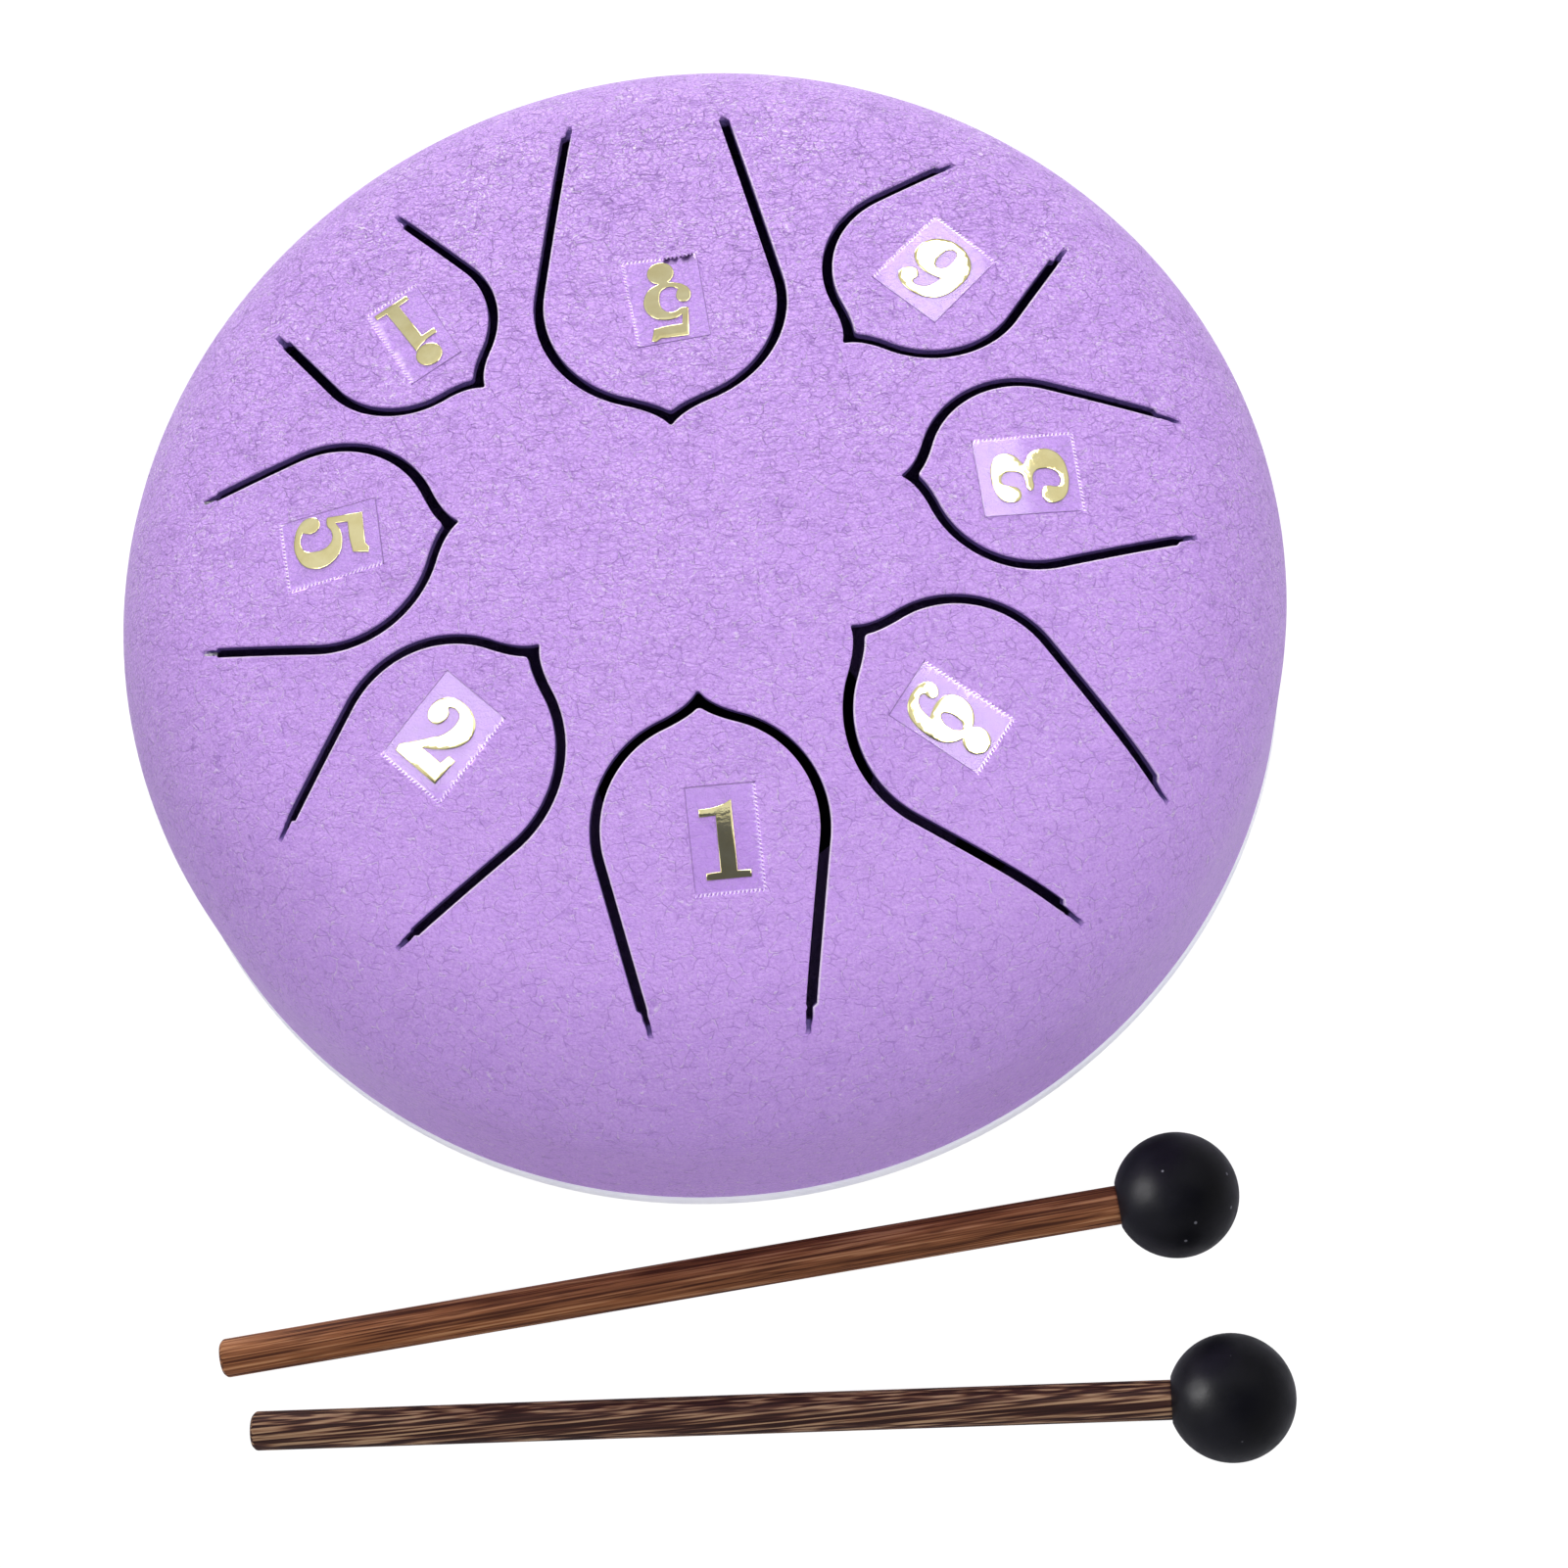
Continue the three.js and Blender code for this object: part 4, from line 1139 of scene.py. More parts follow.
foot_inputs = {"Foot": "Object", "Count": "Int", "Circle Radius": "Float", "First Angle": "Float"}
tree, given, keys = new_tree("feet_on_circle", {**foot_inputs, "Place": "Vector", "Material": "Material"})
spots = step(tree, "GeometryNodeMeshCircle", {"Vertices": given["Count"], "Radius": given["Circle Radius"]})
around = step(tree, "ShaderNodeCombineXYZ", {"Z": given["First Angle"]})
turned_to = {"Geometry": spots["Mesh"], "Translation": given["Place"], "Rotation": around["Vector"]}
spun = step(tree, "GeometryNodeTransform", turned_to)
one_foot = step(tree, "GeometryNodeObjectInfo", {"Object": given["Foot"]})
copies = step(tree, "GeometryNodeInstanceOnPoints", {"Points": spun["Geometry"], "Instance": one_foot["Geometry"]})
finish_tree(tree, copies["Instances"], given["Material"])
values = {"Foot": foot_shape, "Count": len(FOOT_AZIMUTHS), "Circle Radius": FOOT_CIRCLE_RADIUS * MM}
values |= {"First Angle": math.radians(FOOT_AZIMUTHS[0]), "Place": (DRUM_X * MM, DRUM_Y * MM, 0.0)}
values["Material"] = FOOT_RUBBER
feet = grown("rubber_feet", tree, keys, values)
settle(feet, "drum", ["foot_1", "foot_2", "foot_3"])
bpy.data.objects.remove(foot_shape)

# %% [markdown]
# ## Note films
#
# On each tongue sticks a small piece of clear film. Two of its sides are cut straight and two are pinked, and each was
# stuck on by hand, so every film has its own four corners. The film smooths the grain below it and mirrors the panels.
# A glass shader would block the lamps' light from the paint below, so the film is a thin slab of Principled shader
# with a low alpha and a clear coat, and it casts no shadow. The light on its cut edges is painted, by a value at each
# point called rim: 1 is a painted highlight on a tooth, which also glows a little, -1 a painted shadow along an edge,
# and -2 the smudge of dirt and painted shadow at the corner that came loose.

# %% Film corners
# Each film's azimuth in degrees, its middle along and across that direction in drum radii, and its corners round that
# middle in millimetres, across and towards the drum's middle: top left, bottom left, bottom right, top right.
FILMS = {
    "low_5": (91.5, 0.387, -0.013, [(-5.2, 6.5), (-4.5, -6.5), (5.6, -6.8), (4.4, 7.1)]),
    "6": (43.2, 0.613, -0.010, [(-5.8, 6.5), (-5.0, -6.5), (5.7, -6.7), (5.0, 6.7)]),
    "3": (1.3, 0.570, -0.006, [(-5.8, 6.4), (-5.5, -6.5), (5.8, -6.3), (5.1, 6.8)]),
    "low_6": (-43.7, 0.572, -0.018, [(-4.8, 6.1), (-3.6, -7.0), (5.0, -6.1), (3.7, 7.1)]),
    "1": (-90.0, 0.575, 0.026, [(-4.5, 6.8), (-4.3, -6.8), (4.5, -6.8), (4.3, 6.7)]),
    "2": (-137.0, 0.542, -0.023, [(-5.5, 6.6), (-4.8, -6.7), (5.6, -6.7), (4.8, 6.6)]),
    "5": (178.6, 0.583, 0.003, [(-5.8, 6.0), (-4.2, -7.0), (5.8, -5.8), (3.9, 7.0)]),
    "high_1": (137.8, 0.587, 0.0, [(-1.2, 8.0), (-6.3, -4.6), (1.2, -7.1), (6.2, 5.5)]),
}
FILM_GAP = 0.03
FILM_THICKNESS = 0.10
CURLED_FILM = "low_5"
CURL = {"corner": (-4.5, -6.5), "reach": 3.4, "height": 0.9, "smudge": (4.6, 1.0), "torn": 0.5}


def dome_height(distance):
    """The height of the dome's face at a distance from the drum's axis."""
    on_crown = distance <= CROWN_RADIUS * math.sin(SHOULDER_ANGLE)
    crown = CROWN_CENTRE_Z + np.sqrt(CROWN_RADIUS**2 - distance**2)
    shoulder_reach = np.clip(SHOULDER_RADIUS**2 - (distance - SHOULDER_CENTRE_R) ** 2, 0, None)
    return np.where(on_crown, crown, SHOULDER_CENTRE_Z + np.sqrt(shoulder_reach))


def curl_of(name, flat):
    """How far the film's loose corner stands off the tongue."""
    nearness = 1 - np.linalg.norm(flat - CURL["corner"], axis=1) / CURL["reach"]
    return CURL["height"] * np.clip(nearness, 0, 1) ** 2 if name == CURLED_FILM else np.zeros(len(flat))


def on_tongue(name, flat, height):
    """Points drawn on a film, across and towards the drum's middle, laid on the dome at a height above it."""
    azimuth, along, aside, _ = FILMS[name]
    plan = np.stack([along * DRUM_RADIUS - flat[:, 1], aside * DRUM_RADIUS + flat[:, 0]], 1)
    plan = turned(plan, azimuth)
    level = dome_height(np.linalg.norm(plan, axis=1)) + height
    return np.stack([DRUM_X + plan[:, 0], DRUM_Y + plan[:, 1], level], 1)


# %% Film outlines
SIDE_STEPS = 12
PINK_PITCH = 0.52
PINK_DEPTH = 0.34
NET_STEP = 0.9
# Painted rim light: shadow on straight sides, highlight and shadow in turn on teeth, dirt and shadow at the curl.
STRAIGHT_SIDE_SHADOW, TOOTH_HIGHLIGHT_AND_SHADOW, SMUDGE_AND_SHADOW_RIM = -0.9, (1, 1, 0.5, -0.9), (-2, -1.1, -1.8, -0.4, -1.5)


def pinked(start, end):
    """A side of the film cut with pinking shears: teeth along the line, notches to its left. Four points a tooth."""
    start, end = np.array(start), np.array(end)
    length = np.linalg.norm(end - start)
    teeth = round(length / PINK_PITCH)
    left = np.array([start[1] - end[1], end[0] - start[0]]) / length * PINK_DEPTH
    return [start + (end - start) * (k / 4 / teeth) + left * (0, 0.5, 1, 0.5)[k % 4] for k in range(4 * teeth)]


def film_outline(name, corners):
    """The outline and its rim at each point: painted shadow on straight sides, highlight and shadow on the teeth."""
    top_left, bottom_left, bottom_right, top_right = corners
    teeth = [*pinked(bottom_left, bottom_right), *pinked(bottom_right, top_right)]
    straight_sides = ((top_left, bottom_left), (top_right, top_left))
    left_side, top_side = (straight(a, b, SIDE_STEPS)[:-1] for a, b in straight_sides)
    outline = np.concatenate([left_side, teeth, top_side])
    straight_side_shadow = np.full(SIDE_STEPS, STRAIGHT_SIDE_SHADOW)
    rim = np.concatenate([straight_side_shadow, np.tile(TOOTH_HIGHLIGHT_AND_SHADOW, len(teeth) // 4), straight_side_shadow])
    if name == CURLED_FILM:
        smudged = np.linalg.norm((outline - CURL["corner"]) / CURL["smudge"], axis=1) < 1
        rim[smudged] = np.tile(SMUDGE_AND_SHADOW_RIM, len(rim))[: smudged.sum()]
        # A painted highlight where the loose corner is torn.
        rim[np.linalg.norm(outline - CURL["corner"], axis=1) < CURL["torn"]] = 1
    return outline, rim


def loose_inside(outline, step):
    """An even staggered set of points inside an outline, clear of its edge."""
    low, high = np.min(outline, 0), np.max(outline, 0)
    rows = np.arange(low[1], high[1], step * 0.87)
    grid = [(x + step / 2 * (i % 2), y) for i, y in enumerate(rows) for x in np.arange(low[0], high[0], step)]
    grid = np.array(grid)
    grid = grid[within(grid, outline)]
    return grid[gap_to([np.asarray(outline)], grid) > step * 0.45]


# %% Clear film
FILM_TINT = colour(209, 171, 235)
FILM_PALE = colour(216, 179, 241)
# Painted highlight, painted shadow, and dirt with painted shadow on the film's edges.
FILM_PAINTED_HIGHLIGHT = colour(255, 248, 255)
FILM_PAINTED_SHADOW = colour(96, 70, 122)
FILM_SMUDGE_AND_SHADOW = colour(22, 20, 25)
FILM_ALPHA = 0.27
FILM_INSET = 0.974
BEHIND_TEETH = 0.92
SMUDGE_WIDTH = 0.45


def clear_film():
    material, tree, shader = new_material("clear_film")
    where = shade(tree, "TexCoord").outputs["Object"]
    ripple = noise(tree, where, 260, 2)
    bump = shade(tree, "Bump", {"Strength": 0.03, "Distance": 0.0002, "Height": ripple})
    tone = ramp(tree, noise(tree, where, 700, 2), [(0.3, FILM_TINT), (0.8, FILM_PALE)])
    rim = shade(tree, "Attribute", attribute_name="rim").outputs["Fac"]
    # The rim paints light on the film's edges: highlights that also glow a little, shadows, and dirt darkened with
    # shadow.
    bright, dark, smudge = (between(tree, rim, low, high) for low, high in ((0, 1), (0, -1), (-1, -2)))
    opaque = FILM_ALPHA
    for share, edge_tone, cover in ((bright, FILM_PAINTED_HIGHLIGHT, 0.8), (dark, FILM_PAINTED_SHADOW, 0.7), (smudge, FILM_SMUDGE_AND_SHADOW, 1.0)):
        tone = mix(tree, share, tone, edge_tone)
        opaque = math_node(tree, "ADD", opaque, times(tree, share, cover), clamp=True)
    gloss = between(tree, dark, 0, 1, 1, 0)
    painted_glow = times(tree, bright, 0.45)
    feed(tree, shader, {"Base Color": tone, "Roughness": 0.09, "Alpha": opaque, "Normal": bump.outputs[0]})
    feed(tree, shader, {"Specular IOR Level": times(tree, gloss, 0.5), "Coat Weight": gloss})
    feed(tree, shader, {"Coat Roughness": 0.05, "Emission Color": FILM_PAINTED_HIGHLIGHT, "Emission Strength": painted_glow})
    return material


FILM = clear_film()
print(FILM.name, len(FILM.node_tree.nodes), "nodes")

# %% Note films
for name, (_, _, _, corners) in FILMS.items():
    outline, rim = film_outline(name, corners)
    straight_sides = [FILM_INSET * straight(corners[a], corners[b], SIDE_STEPS) for a, b in ((0, 1), (3, 0))]
    behind_teeth = [BEHIND_TEETH * straight(corners[a], corners[b], 2 * SIDE_STEPS) for a, b in ((1, 2), (2, 3))]
    rows = np.concatenate([loose_inside(outline, NET_STEP), *behind_teeth])
    flat, triangles = fill([outline], [], straight_sides, rows, lines_close=False)
    curl = curl_of(name, flat)
    low_side = on_tongue(name, flat, FILM_GAP + curl)
    high_side = on_tongue(name, flat, FILM_GAP + FILM_THICKNESS + curl)
    points, faces = slab(high_side, low_side, triangles)
    film = new_piece(f"note_film_{name}_clear", points, faces, FILM, "drum", [f"note_film_{name}"])
    apart = np.linalg.norm(flat[:, None] - outline, axis=2)
    nearest, away = rim[apart.argmin(1)], apart.min(1)
    # The dirt and painted shadow of the loose corner spread a little way in from its edge.
    rim_light_and_shade = np.where(away < 1e-3, nearest, np.where((away < SMUDGE_WIDTH) & (nearest < -1), nearest + 0.35, 0))
    add_attribute(film, "rim", rim_light_and_shade, rim_light_and_shade)
    film.visible_shadow = False

# %% [markdown]
# ## Foil numerals
#
# The notes are numbered, with a dot above for the octave above and a dot below for the octave below. The numerals are
# heavy, with thin serifs and ball ends. Blender's Text object would give its built-in letterform, so they are drawn
# here as Bezier outlines: an anchor is smooth, or a corner where its third value is 1. The foil is embossed, so its
# edge slopes over a tenth of a millimetre, which is what makes the bright rims.

# %% Numeral outlines
NUMERALS = {
    "1": [[
        (1.1, 4.8, 1), (1.15, -3.95, 1), (2.8, -4.0, 1), (2.8, -4.85, 1), (-2.75, -4.85, 1), (-2.75, -4.0, 1),
        (-0.95, -3.95, 1), (-0.95, 2.95, 1), (-3.0, 2.9, 1), (-3.0, 3.85, 1), (-1.2, 3.95, 0), (0.1, 4.28, 0),
    ]],
    "2": [[
        (-3.9, 2.2, 0), (-3.35, 3.6, 0), (-2.0, 4.5, 0), (-0.35, 4.7, 0), (1.3, 4.3, 0), (2.5, 3.3, 0), (3.0, 1.9, 0),
        (2.75, 0.7, 0), (1.9, -0.55, 0), (0.5, -1.75, 0), (-1.2, -2.75, 1), (2.05, -2.7, 1), (2.3, -1.4, 1),
        (3.4, -1.4, 1), (3.3, -5.1, 1), (-3.65, -5.05, 1), (-3.85, -4.2, 1), (-2.7, -2.95, 0), (-1.35, -1.4, 0),
        (-0.35, -0.2, 0), (0.15, 1.0, 0), (0.25, 2.2, 0), (-0.15, 3.2, 0), (-0.9, 3.5, 0), (-1.6, 3.35, 0),
        (-1.95, 3.0, 1), (-1.35, 2.5, 0), (-1.2, 1.6, 0), (-1.6, 0.7, 0), (-2.5, 0.38, 0), (-3.4, 0.7, 0),
    ]],
    "3": [[
        (-2.9, 1.38, 0), (-3.7, 1.75, 0), (-4.0, 2.65, 0), (-3.6, 3.9, 0), (-2.2, 4.65, 0), (-0.25, 4.93, 0),
        (1.5, 4.65, 0), (2.6, 3.8, 0), (2.93, 2.75, 0), (2.6, 1.7, 0), (1.3, 0.6, 1), (2.85, -0.45, 0),
        (3.45, -2.0, 0), (3.1, -3.4, 0), (2.0, -4.4, 0), (0.25, -4.85, 0), (-1.6, -4.8, 0), (-3.3, -4.2, 0),
        (-4.15, -3.1, 0), (-4.2, -2.0, 0), (-3.7, -1.4, 0), (-2.85, -1.2, 0), (-2.1, -1.5, 0), (-1.8, -2.15, 0),
        (-1.95, -2.9, 0), (-1.95, -3.45, 1), (-1.2, -3.8, 0), (-0.15, -3.6, 0), (0.5, -2.75, 0), (0.62, -1.75, 0),
        (0.35, -0.85, 0), (-0.4, -0.38, 0), (-2.2, -0.22, 0), (-2.45, 0.15, 0), (-2.15, 0.5, 0), (-0.5, 0.75, 0),
        (0.12, 1.25, 0), (0.32, 2.0, 0), (0.25, 2.9, 0), (-0.25, 3.5, 0), (-0.9, 3.68, 0), (-1.5, 3.4, 1),
        (-1.68, 2.6, 0), (-2.1, 1.65, 0),
    ]],
    "5": [[
        (-3.68, 4.5, 1), (0.75, 4.5, 1), (1.5, 4.98, 1), (2.2, 4.8, 1), (1.65, 2.8, 1), (-0.55, 2.5, 0),
        (-2.78, 2.48, 1), (-3.0, 0.88, 1), (-1.75, 1.44, 0), (-0.35, 1.53, 0), (1.1, 1.17, 0), (2.27, 0.2, 0),
        (2.87, -1.23, 0), (2.7, -2.6, 0), (1.97, -3.8, 0), (0.65, -4.57, 0), (-0.88, -4.88, 0), (-2.37, -4.66, 0),
        (-3.7, -4.1, 0), (-4.5, -3.16, 0), (-4.62, -2.28, 0), (-4.23, -1.48, 0), (-3.35, -1.2, 0), (-2.58, -1.6, 0),
        (-2.3, -2.24, 0), (-2.44, -3.02, 0), (-2.7, -3.55, 1), (-1.8, -3.95, 0), (-0.8, -3.9, 0), (0.0, -3.4, 0),
        (0.32, -2.28, 0), (0.3, -1.15, 0), (-0.15, -0.24, 0), (-0.98, 0.26, 0), (-1.98, 0.2, 0), (-2.9, -0.27, 0),
        (-3.78, -0.28, 1), (-4.05, -0.13, 1),
    ]],
    "6": [[
        (2.95, 3.25, 0), (2.6, 4.15, 0), (1.75, 4.65, 0), (0.25, 4.9, 0), (-1.25, 4.72, 0), (-2.5, 4.15, 0),
        (-3.5, 3.15, 0), (-4.08, 1.75, 0), (-4.25, 0.25, 0), (-4.18, -1.25, 0), (-3.75, -2.75, 0), (-2.85, -3.9, 0),
        (-1.5, -4.7, 0), (0.0, -5.0, 0), (1.5, -4.75, 0), (2.75, -4.0, 0), (3.58, -2.85, 0), (3.85, -1.5, 0),
        (3.6, -0.25, 0), (2.85, 0.65, 0), (1.75, 1.15, 0), (0.5, 1.28, 0), (-0.5, 1.1, 0), (-1.8, 0.7, 1),
        (-1.65, 1.9, 0), (-1.25, 2.85, 0), (-0.5, 3.52, 0), (0.3, 3.68, 0), (0.75, 3.35, 1), (0.68, 2.5, 0),
        (1.05, 1.95, 0), (1.8, 1.75, 0), (2.6, 2.3, 0),
    ], [
        (-0.2, -0.3, 0), (-1.05, -1.2, 0), (-1.15, -2.4, 0), (-0.75, -3.5, 0), (-0.1, -3.9, 0), (0.6, -3.4, 0),
        (0.8, -2.2, 0), (0.55, -0.95, 0),
    ]],
}
BEZIER_STEPS = 6


def bezier_outline(anchors):
    """A closed Bezier through the anchors, as points. Handles follow the curve, except at corners."""
    curve = bpy.data.curves.new("numeral", "CURVE")
    curve.dimensions = "3D"
    curve.resolution_u = BEZIER_STEPS
    spline = curve.splines.new("BEZIER")
    spline.use_cyclic_u = True
    spline.bezier_points.add(len(anchors) - 1)
    for point, (x, y, corner) in zip(spline.bezier_points, anchors):
        point.co = (x, y, 0)
        kind = "VECTOR" if corner else "AUTO"
        point.handle_left_type = point.handle_right_type = kind
    holder = bpy.data.objects.new("numeral", curve)
    scene.collection.objects.link(holder)
    graph = bpy.context.evaluated_depsgraph_get()
    mesh = bpy.data.meshes.new_from_object(holder.evaluated_get(graph))
    points = np.array([v.co[:2] for v in mesh.vertices])
    bpy.data.objects.remove(holder)
    bpy.data.meshes.remove(mesh)
    return points


SHAPES = {name: [anticlockwise(bezier_outline(line)) for line in lines] for name, lines in NUMERALS.items()}
print("numerals drawn:", {name: [len(line) for line in lines] for name, lines in SHAPES.items()})

# %% Gold foil
FOIL_GOLD = colour(224, 215, 168)
FOIL_DEEP = colour(212, 200, 146)


def gold_foil():
    material, tree, shader = new_material("gold_foil")
    where = shade(tree, "TexCoord").outputs["Object"]
    tone = ramp(tree, noise(tree, where, 350, 3), [(0.3, FOIL_DEEP), (0.7, FOIL_GOLD)])
    rough = between(tree, noise(tree, where, 600, 3), 0.3, 0.7, 0.03, 0.07)
    height = math_node(tree, "ADD", noise(tree, where, 380), noise(tree, where, 2400, 2))
    bump = shade(tree, "Bump", {"Strength": 0.045, "Distance": 0.0001, "Height": height})
    feed(tree, shader, {"Base Color": tone, "Metallic": 1.0, "Roughness": rough, "Normal": bump.outputs[0]})
    return material


FOIL = gold_foil()
print(FOIL.name)

# %% Foil numerals
# Which numeral each film carries, its middle on the film, its turn, its width and height scale, and its dot.
MARKS = {
    "low_5": ("5", (0.65, 1.95), 0.0, (0.83, 0.93), (0.5, -4.13)),
    "6": ("6", (0.0, 0.0), 0.0, (1.0, 1.0), None),
    "3": ("3", (0.0, 0.0), 0.0, (1.0, 1.0), None),
    "low_6": ("6", (-0.35, 1.45), 1.5, (0.81, 0.86), (-0.35, -4.15)),
    "1": ("1", (0.0, 0.0), 0.0, (1.0, 1.0), None),
    "2": ("2", (0.0, 0.0), 0.0, (1.0, 1.0), None),
    "5": ("5", (0.0, 0.0), 4.5, (1.0, 1.0), None),
    "high_1": ("1", (-0.41, -1.03), -18.5, (0.9, 0.9), (1.33, 4.5)),
}
DOT_RADIUS = 1.75
FOIL_HEIGHT = 0.055
FOIL_SLOPE = 0.1
FOIL_ROWS = (0.035, 0.07, 0.1)
FOIL_STEP = 0.55
FOIL_BASE = FILM_GAP + FILM_THICKNESS + 0.005


def foil_rise(gap):
    """The embossed foil's height at a distance from its edge: a rounded slope up to a flat top."""
    share = np.clip(gap / FOIL_SLOPE, 0, 1)
    return FOIL_HEIGHT * (0.25 + 0.75 * np.sin(share * math.pi / 2))


for name, (numeral, middle, degrees, scale, dot) in MARKS.items():
    lines = [turned(line * scale, degrees) + middle for line in SHAPES[numeral]]
    solids, openings = lines[:1], [line[::-1] for line in lines[1:]]
    if dot:
        solids.append(circle(DOT_RADIUS, 72, dot))
    rim = []
    for i, line in enumerate(solids):
        others = [within(line, other) for j, other in enumerate(solids) if j != i]
        rim.append((line, np.any([np.zeros(len(line), bool), *others], 0)))
    rows = [beside(line, distance) for line in solids + openings for distance in FOIL_ROWS]
    loose = np.concatenate([loose_inside(line, FOIL_STEP) for line in solids])
    flat, triangles = fill(solids, openings, rows, loose)
    open_edges = openings + [line for line, hidden in rim if not hidden.any()]
    gap = gap_to(open_edges, flat) if open_edges else np.full(len(flat), 1e9)
    for line, hidden in rim:
        if hidden.any():
            shown = np.flatnonzero(~hidden)
            first = next(k for k in shown if hidden[k - 1])
            run = np.roll(line, -first, 0)[: len(shown)]
            there_and_back = np.concatenate([run, run[-2:0:-1]])
            gap = np.minimum(gap, gap_to([there_and_back], flat))
    top = on_tongue(name, flat, FOIL_BASE + foil_rise(gap))
    points, faces = slab(top, on_tongue(name, flat, FOIL_BASE), triangles)
    new_piece(f"note_foil_{name}", points, faces, FOIL, "drum")

# %% [markdown]
# ## Mallet sticks
#
# Each stick is a turned dowel with a broken edge at its butt. The two dowels come from different boards: one reddish
# brown with fine straight lines, one almost black with pale streaks. Grain on Object coordinates would run along the
# world's axes, so each mesh carries a grain attribute with the place inside the dowel, and stretched noise on it gives
# long fibres.

# %% Stick places
# Where each ball's middle stands from the drum's axis, in drum radii, and the stick's heading in degrees.
MALLETS = {"1": (0.7226, -0.9613, 3.6), "2": (0.7742, -1.3329, -4.1)}
HEAD_RADIUS = 8.7
STICK_RADIUS = 2.7
STICK_REACH = 135.5
BUTT_CHAMFER = 0.5
BORE_RADIUS = STICK_RADIUS + 0.15
BORE_MOUTH = -math.sqrt(HEAD_RADIUS**2 - BORE_RADIUS**2)
BORE_DEPTH, AIR_AT_BORE_END = 11, 0.3
STICK_END = BORE_MOUTH + BORE_DEPTH - AIR_AT_BORE_END


def mallet_place(name):
    """The turn and shift that lay a mallet, made along Z with its ball at the origin, on the table."""
    across, along, heading = MALLETS[name]
    rise = math.asin((HEAD_RADIUS - STICK_RADIUS) / (STICK_REACH - BUTT_CHAMFER))
    heading = math.radians(heading)
    ahead = Vector((math.cos(rise) * math.cos(heading), math.cos(rise) * math.sin(heading), math.sin(rise)))
    turn_to = Vector((0, 0, 1)).rotation_difference(ahead).to_matrix()
    middle = np.array([DRUM_X + across * DRUM_RADIUS, DRUM_Y + along * DRUM_RADIUS, HEAD_RADIUS])
    return np.array(turn_to), middle


# %% Woods
def striped_wood(name, tones, pore_tone, fibre, streak, slant, streaky):
    """Long-grained wood: stretched noise for the fibres, a coarser one for the streaks, and short open pores."""
    material, tree, shader = new_material(name)
    grain = shade(tree, "Attribute", attribute_name="grain").outputs["Vector"]
    lean = (math.radians(slant), math.radians(slant / 2), 0)
    leaning = shade(tree, "Mapping", {"Vector": grain, "Rotation": lean}).outputs[0]
    fibres = noise(tree, stretched(tree, leaning, (fibre, fibre, fibre / 55)), 1.0, 1, 0.5)
    streaks = noise(tree, stretched(tree, leaning, (streak, streak, streak / 26)), 1.0, 2, 0.55)
    both = times(tree, streaks, streaky)
    both = math_node(tree, "ADD", both, times(tree, fibres, 1 - streaky))
    tone = ramp(tree, both, tones)
    pores = between(tree, noise(tree, stretched(tree, leaning, (2600, 2600, 160)), 1.0, 1), 0.6, 0.72)
    tone = mix(tree, times(tree, pores, 0.5), tone, pore_tone)
    height = math_node(tree, "SUBTRACT", both, pores)
    bump = shade(tree, "Bump", {"Strength": 0.3, "Distance": 0.0001, "Height": height})
    rough = between(tree, both, 0.4, 0.62, 0.6, 0.46)
    feed(tree, shader, {"Base Color": tone, "Roughness": rough, "Normal": bump.outputs[0]})
    feed(tree, shader, {"Specular IOR Level": 0.16})
    return material


RED_TONES = [
    (0.38, colour(84, 46, 28)), (0.46, colour(134, 84, 52)), (0.54, colour(160, 101, 62)), (0.63, colour(198, 142, 97)),
]
DARK_TONES = [
    (0.42, colour(52, 30, 25)), (0.5, colour(76, 46, 37)), (0.555, colour(136, 99, 73)), (0.62, colour(180, 145, 110)),
]
RED_WOOD = striped_wood("reddish_wood", RED_TONES, colour(74, 38, 24), 3100, 800, 0.5, 0.3)
DARK_WOOD = striped_wood("dark_wood", DARK_TONES, colour(40, 24, 22), 2900, 800, 3.5, 0.25)
WOODS = {"1": (RED_WOOD, "reddish_wood"), "2": (DARK_WOOD, "dark_wood")}
print("woods:", [wood.name for wood, _ in WOODS.values()])

# %% Sticks
corners = [(0, -STICK_REACH), (STICK_RADIUS - BUTT_CHAMFER, -STICK_REACH), (STICK_RADIUS, BUTT_CHAMFER - STICK_REACH)]
corners += [(STICK_RADIUS, STICK_END), (0, STICK_END)]
stick_profile = rounded_corners(corners, (0.15, 0.2, 0.2), steps=4)
rows = [np.array(p) for p in stick_profile]
longest = max(range(len(rows) - 1), key=lambda i: np.linalg.norm(rows[i + 1] - rows[i]))
shaft = straight(rows[longest], rows[longest + 1], 40)
stick_profile = [*rows[:longest], *shaft, *rows[longest + 2:]]
for name, (wood, slot) in WOODS.items():
    turn_to, middle = mallet_place(name)
    points, faces = lathe(stick_profile, 56)
    placed, node = points @ turn_to.T + middle, f"mallet_stick_{name}"
    stick = new_piece(node + "_wood", placed, faces, wood, f"mallet_{name}", [node])
    inside = stick.data.attributes.new("grain", "FLOAT_VECTOR", "POINT")
    inside.data.foreach_set("vector", (points * MM).astype(np.float32).ravel())

# %% [markdown]
# ## Mallet heads
#
# A head is a solid rubber ball pushed onto the stick. A UV sphere would hide the bore, so the ball is turned from a
# profile that runs from the bottom of the bore, out over its rounded mouth and round the ball.

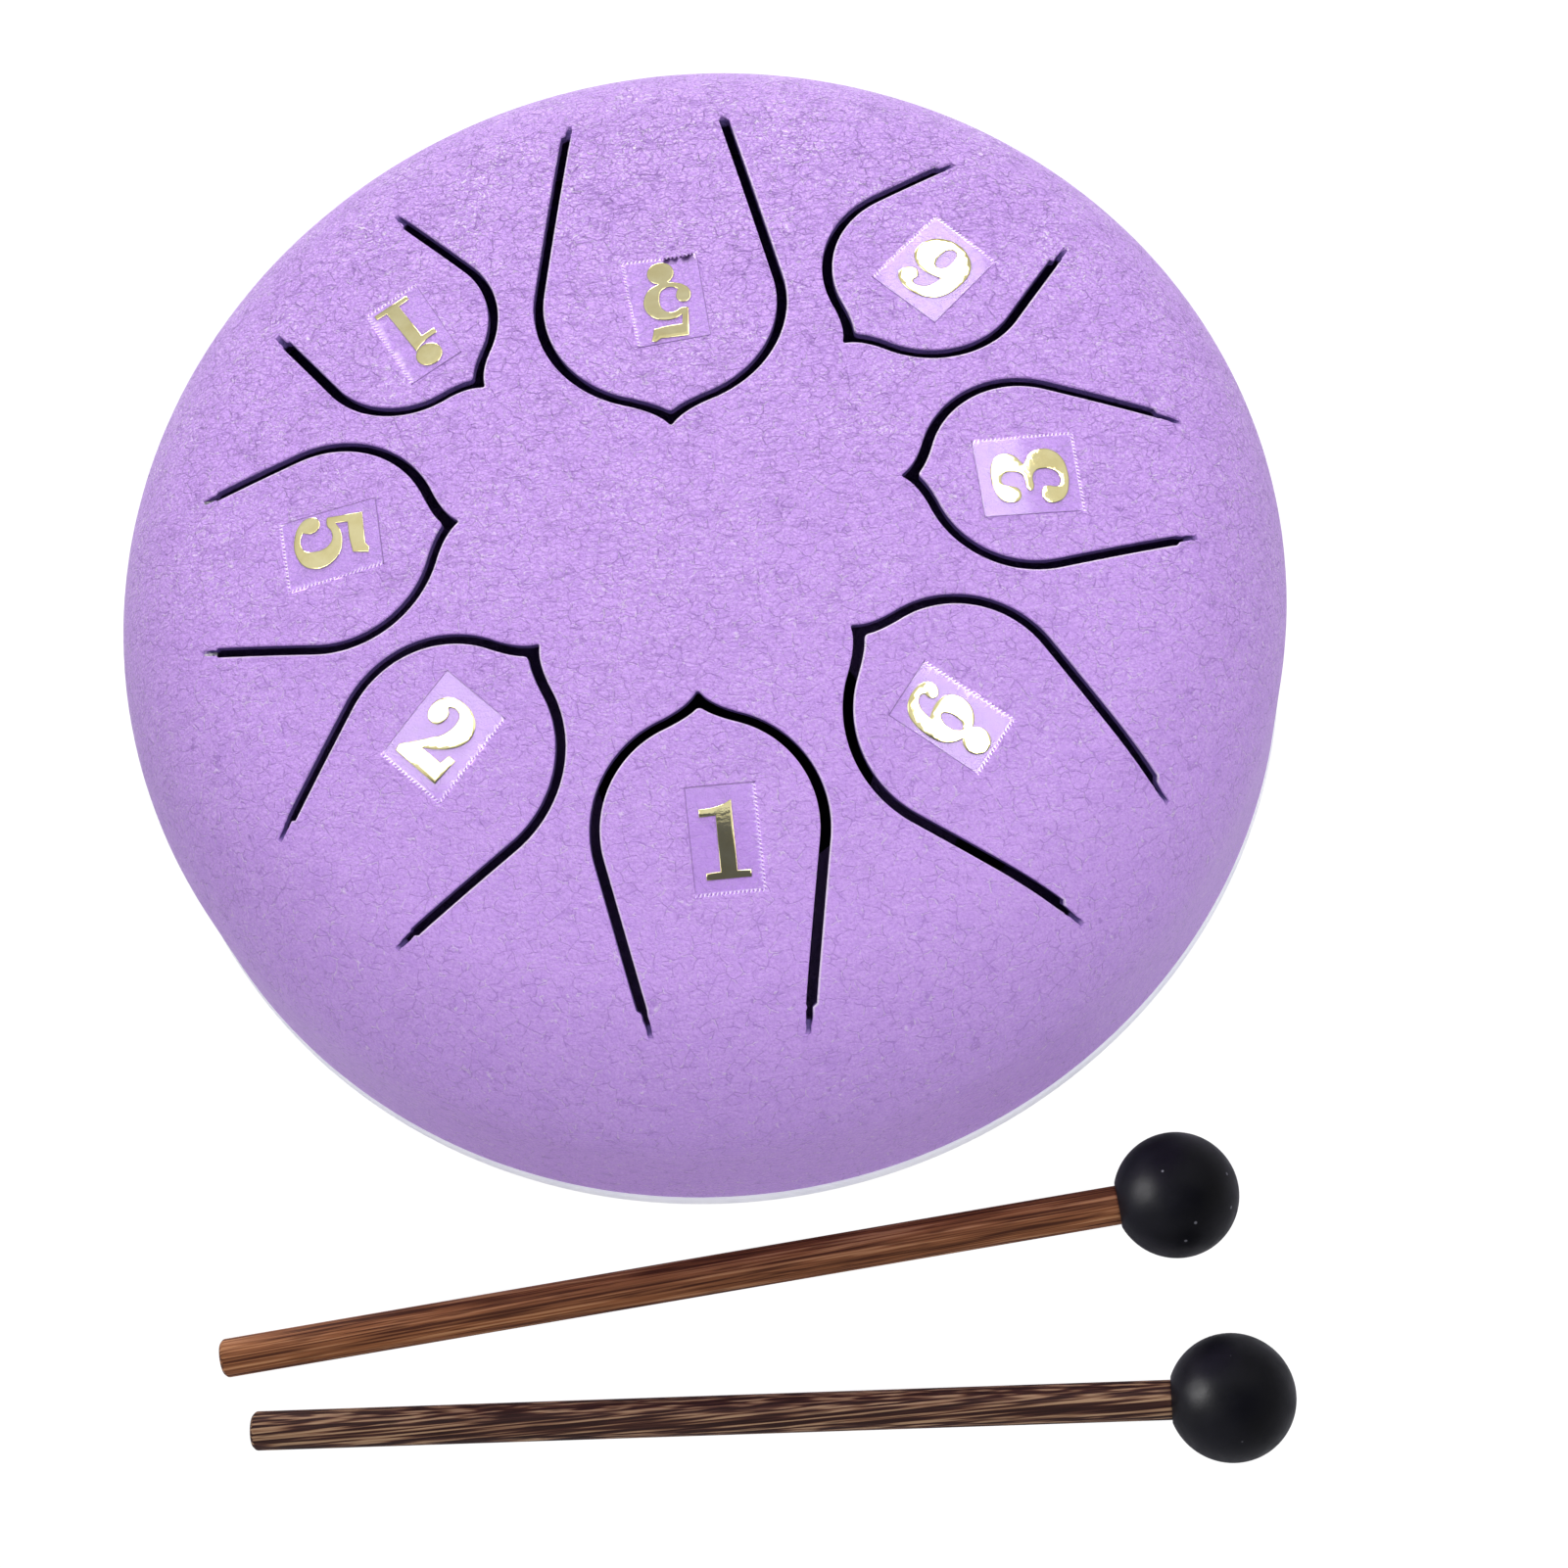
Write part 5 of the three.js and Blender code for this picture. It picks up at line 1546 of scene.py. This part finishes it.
# %% Heads
MOUTH_ROUND = 0.35
mouth_angle = math.pi - math.asin((BORE_RADIUS + MOUTH_ROUND) / HEAD_RADIUS)
ball = arc((0, 0), HEAD_RADIUS, mouth_angle, 0, 40)
mouth_start = np.array([BORE_RADIUS, BORE_MOUTH + MOUTH_ROUND])
mouth_corner = np.array([BORE_RADIUS, BORE_MOUTH])
mouth = eased(mouth_start, mouth_corner, ball[0], np.linspace(0, 1, 6))
bore_end = BORE_MOUTH + BORE_DEPTH
head_profile = [(0, bore_end), (BORE_RADIUS, bore_end), *mouth, *ball[1:-1], (0, HEAD_RADIUS)]
balls = bpy.data.collections.new("balls")
for name in MALLETS:
    turn_to, middle = mallet_place(name)
    points, faces = lathe(head_profile, 72)
    placed, node = points @ turn_to.T + middle, f"mallet_head_{name}"
    head = new_piece(node + "_rubber", placed, faces, HEAD_RUBBER, f"mallet_{name}", [node])
    balls.objects.link(head)

# %% [markdown]
# ## Lamp for the balls
#
# Each ball shows one soft highlight, from the left, where the drum would stand in a lamp's way. Light linking gives a
# lamp a collection of what it lights: this one lights the balls alone and casts no shadow. The other lamps get a
# collection that leaves the balls out, so that no second highlight shows.

# %% Lamp for the balls
BALL_LAMP = {"from_balls": (-0.88, 0.14, 0.46), "size": 0.36, "brightness": 40.0}

balls_middle = sum((Vector(mallet_place(name)[1]) for name in MALLETS), Vector()) * MM / len(MALLETS)
lamp_place = balls_middle + Vector(BALL_LAMP["from_balls"])
ball_lamp = soft_panel("ball_lamp", lamp_place, (BALL_LAMP["size"],) * 2, BALL_LAMP["brightness"], balls_middle)
ball_lamp.data.use_shadow = False
ball_lamp.light_linking.receiver_collection = balls
all_but_balls = bpy.data.collections.new("all_but_balls")
for ball in balls.objects:
    all_but_balls.objects.link(ball)
for link in all_but_balls.collection_objects:
    link.light_linking.link_state = "EXCLUDE"
for name in (*PANELS, "back_lamp"):
    bpy.data.objects[name].light_linking.receiver_collection = all_but_balls
print("ball lamp at", [round(v, 3) for v in lamp_place])
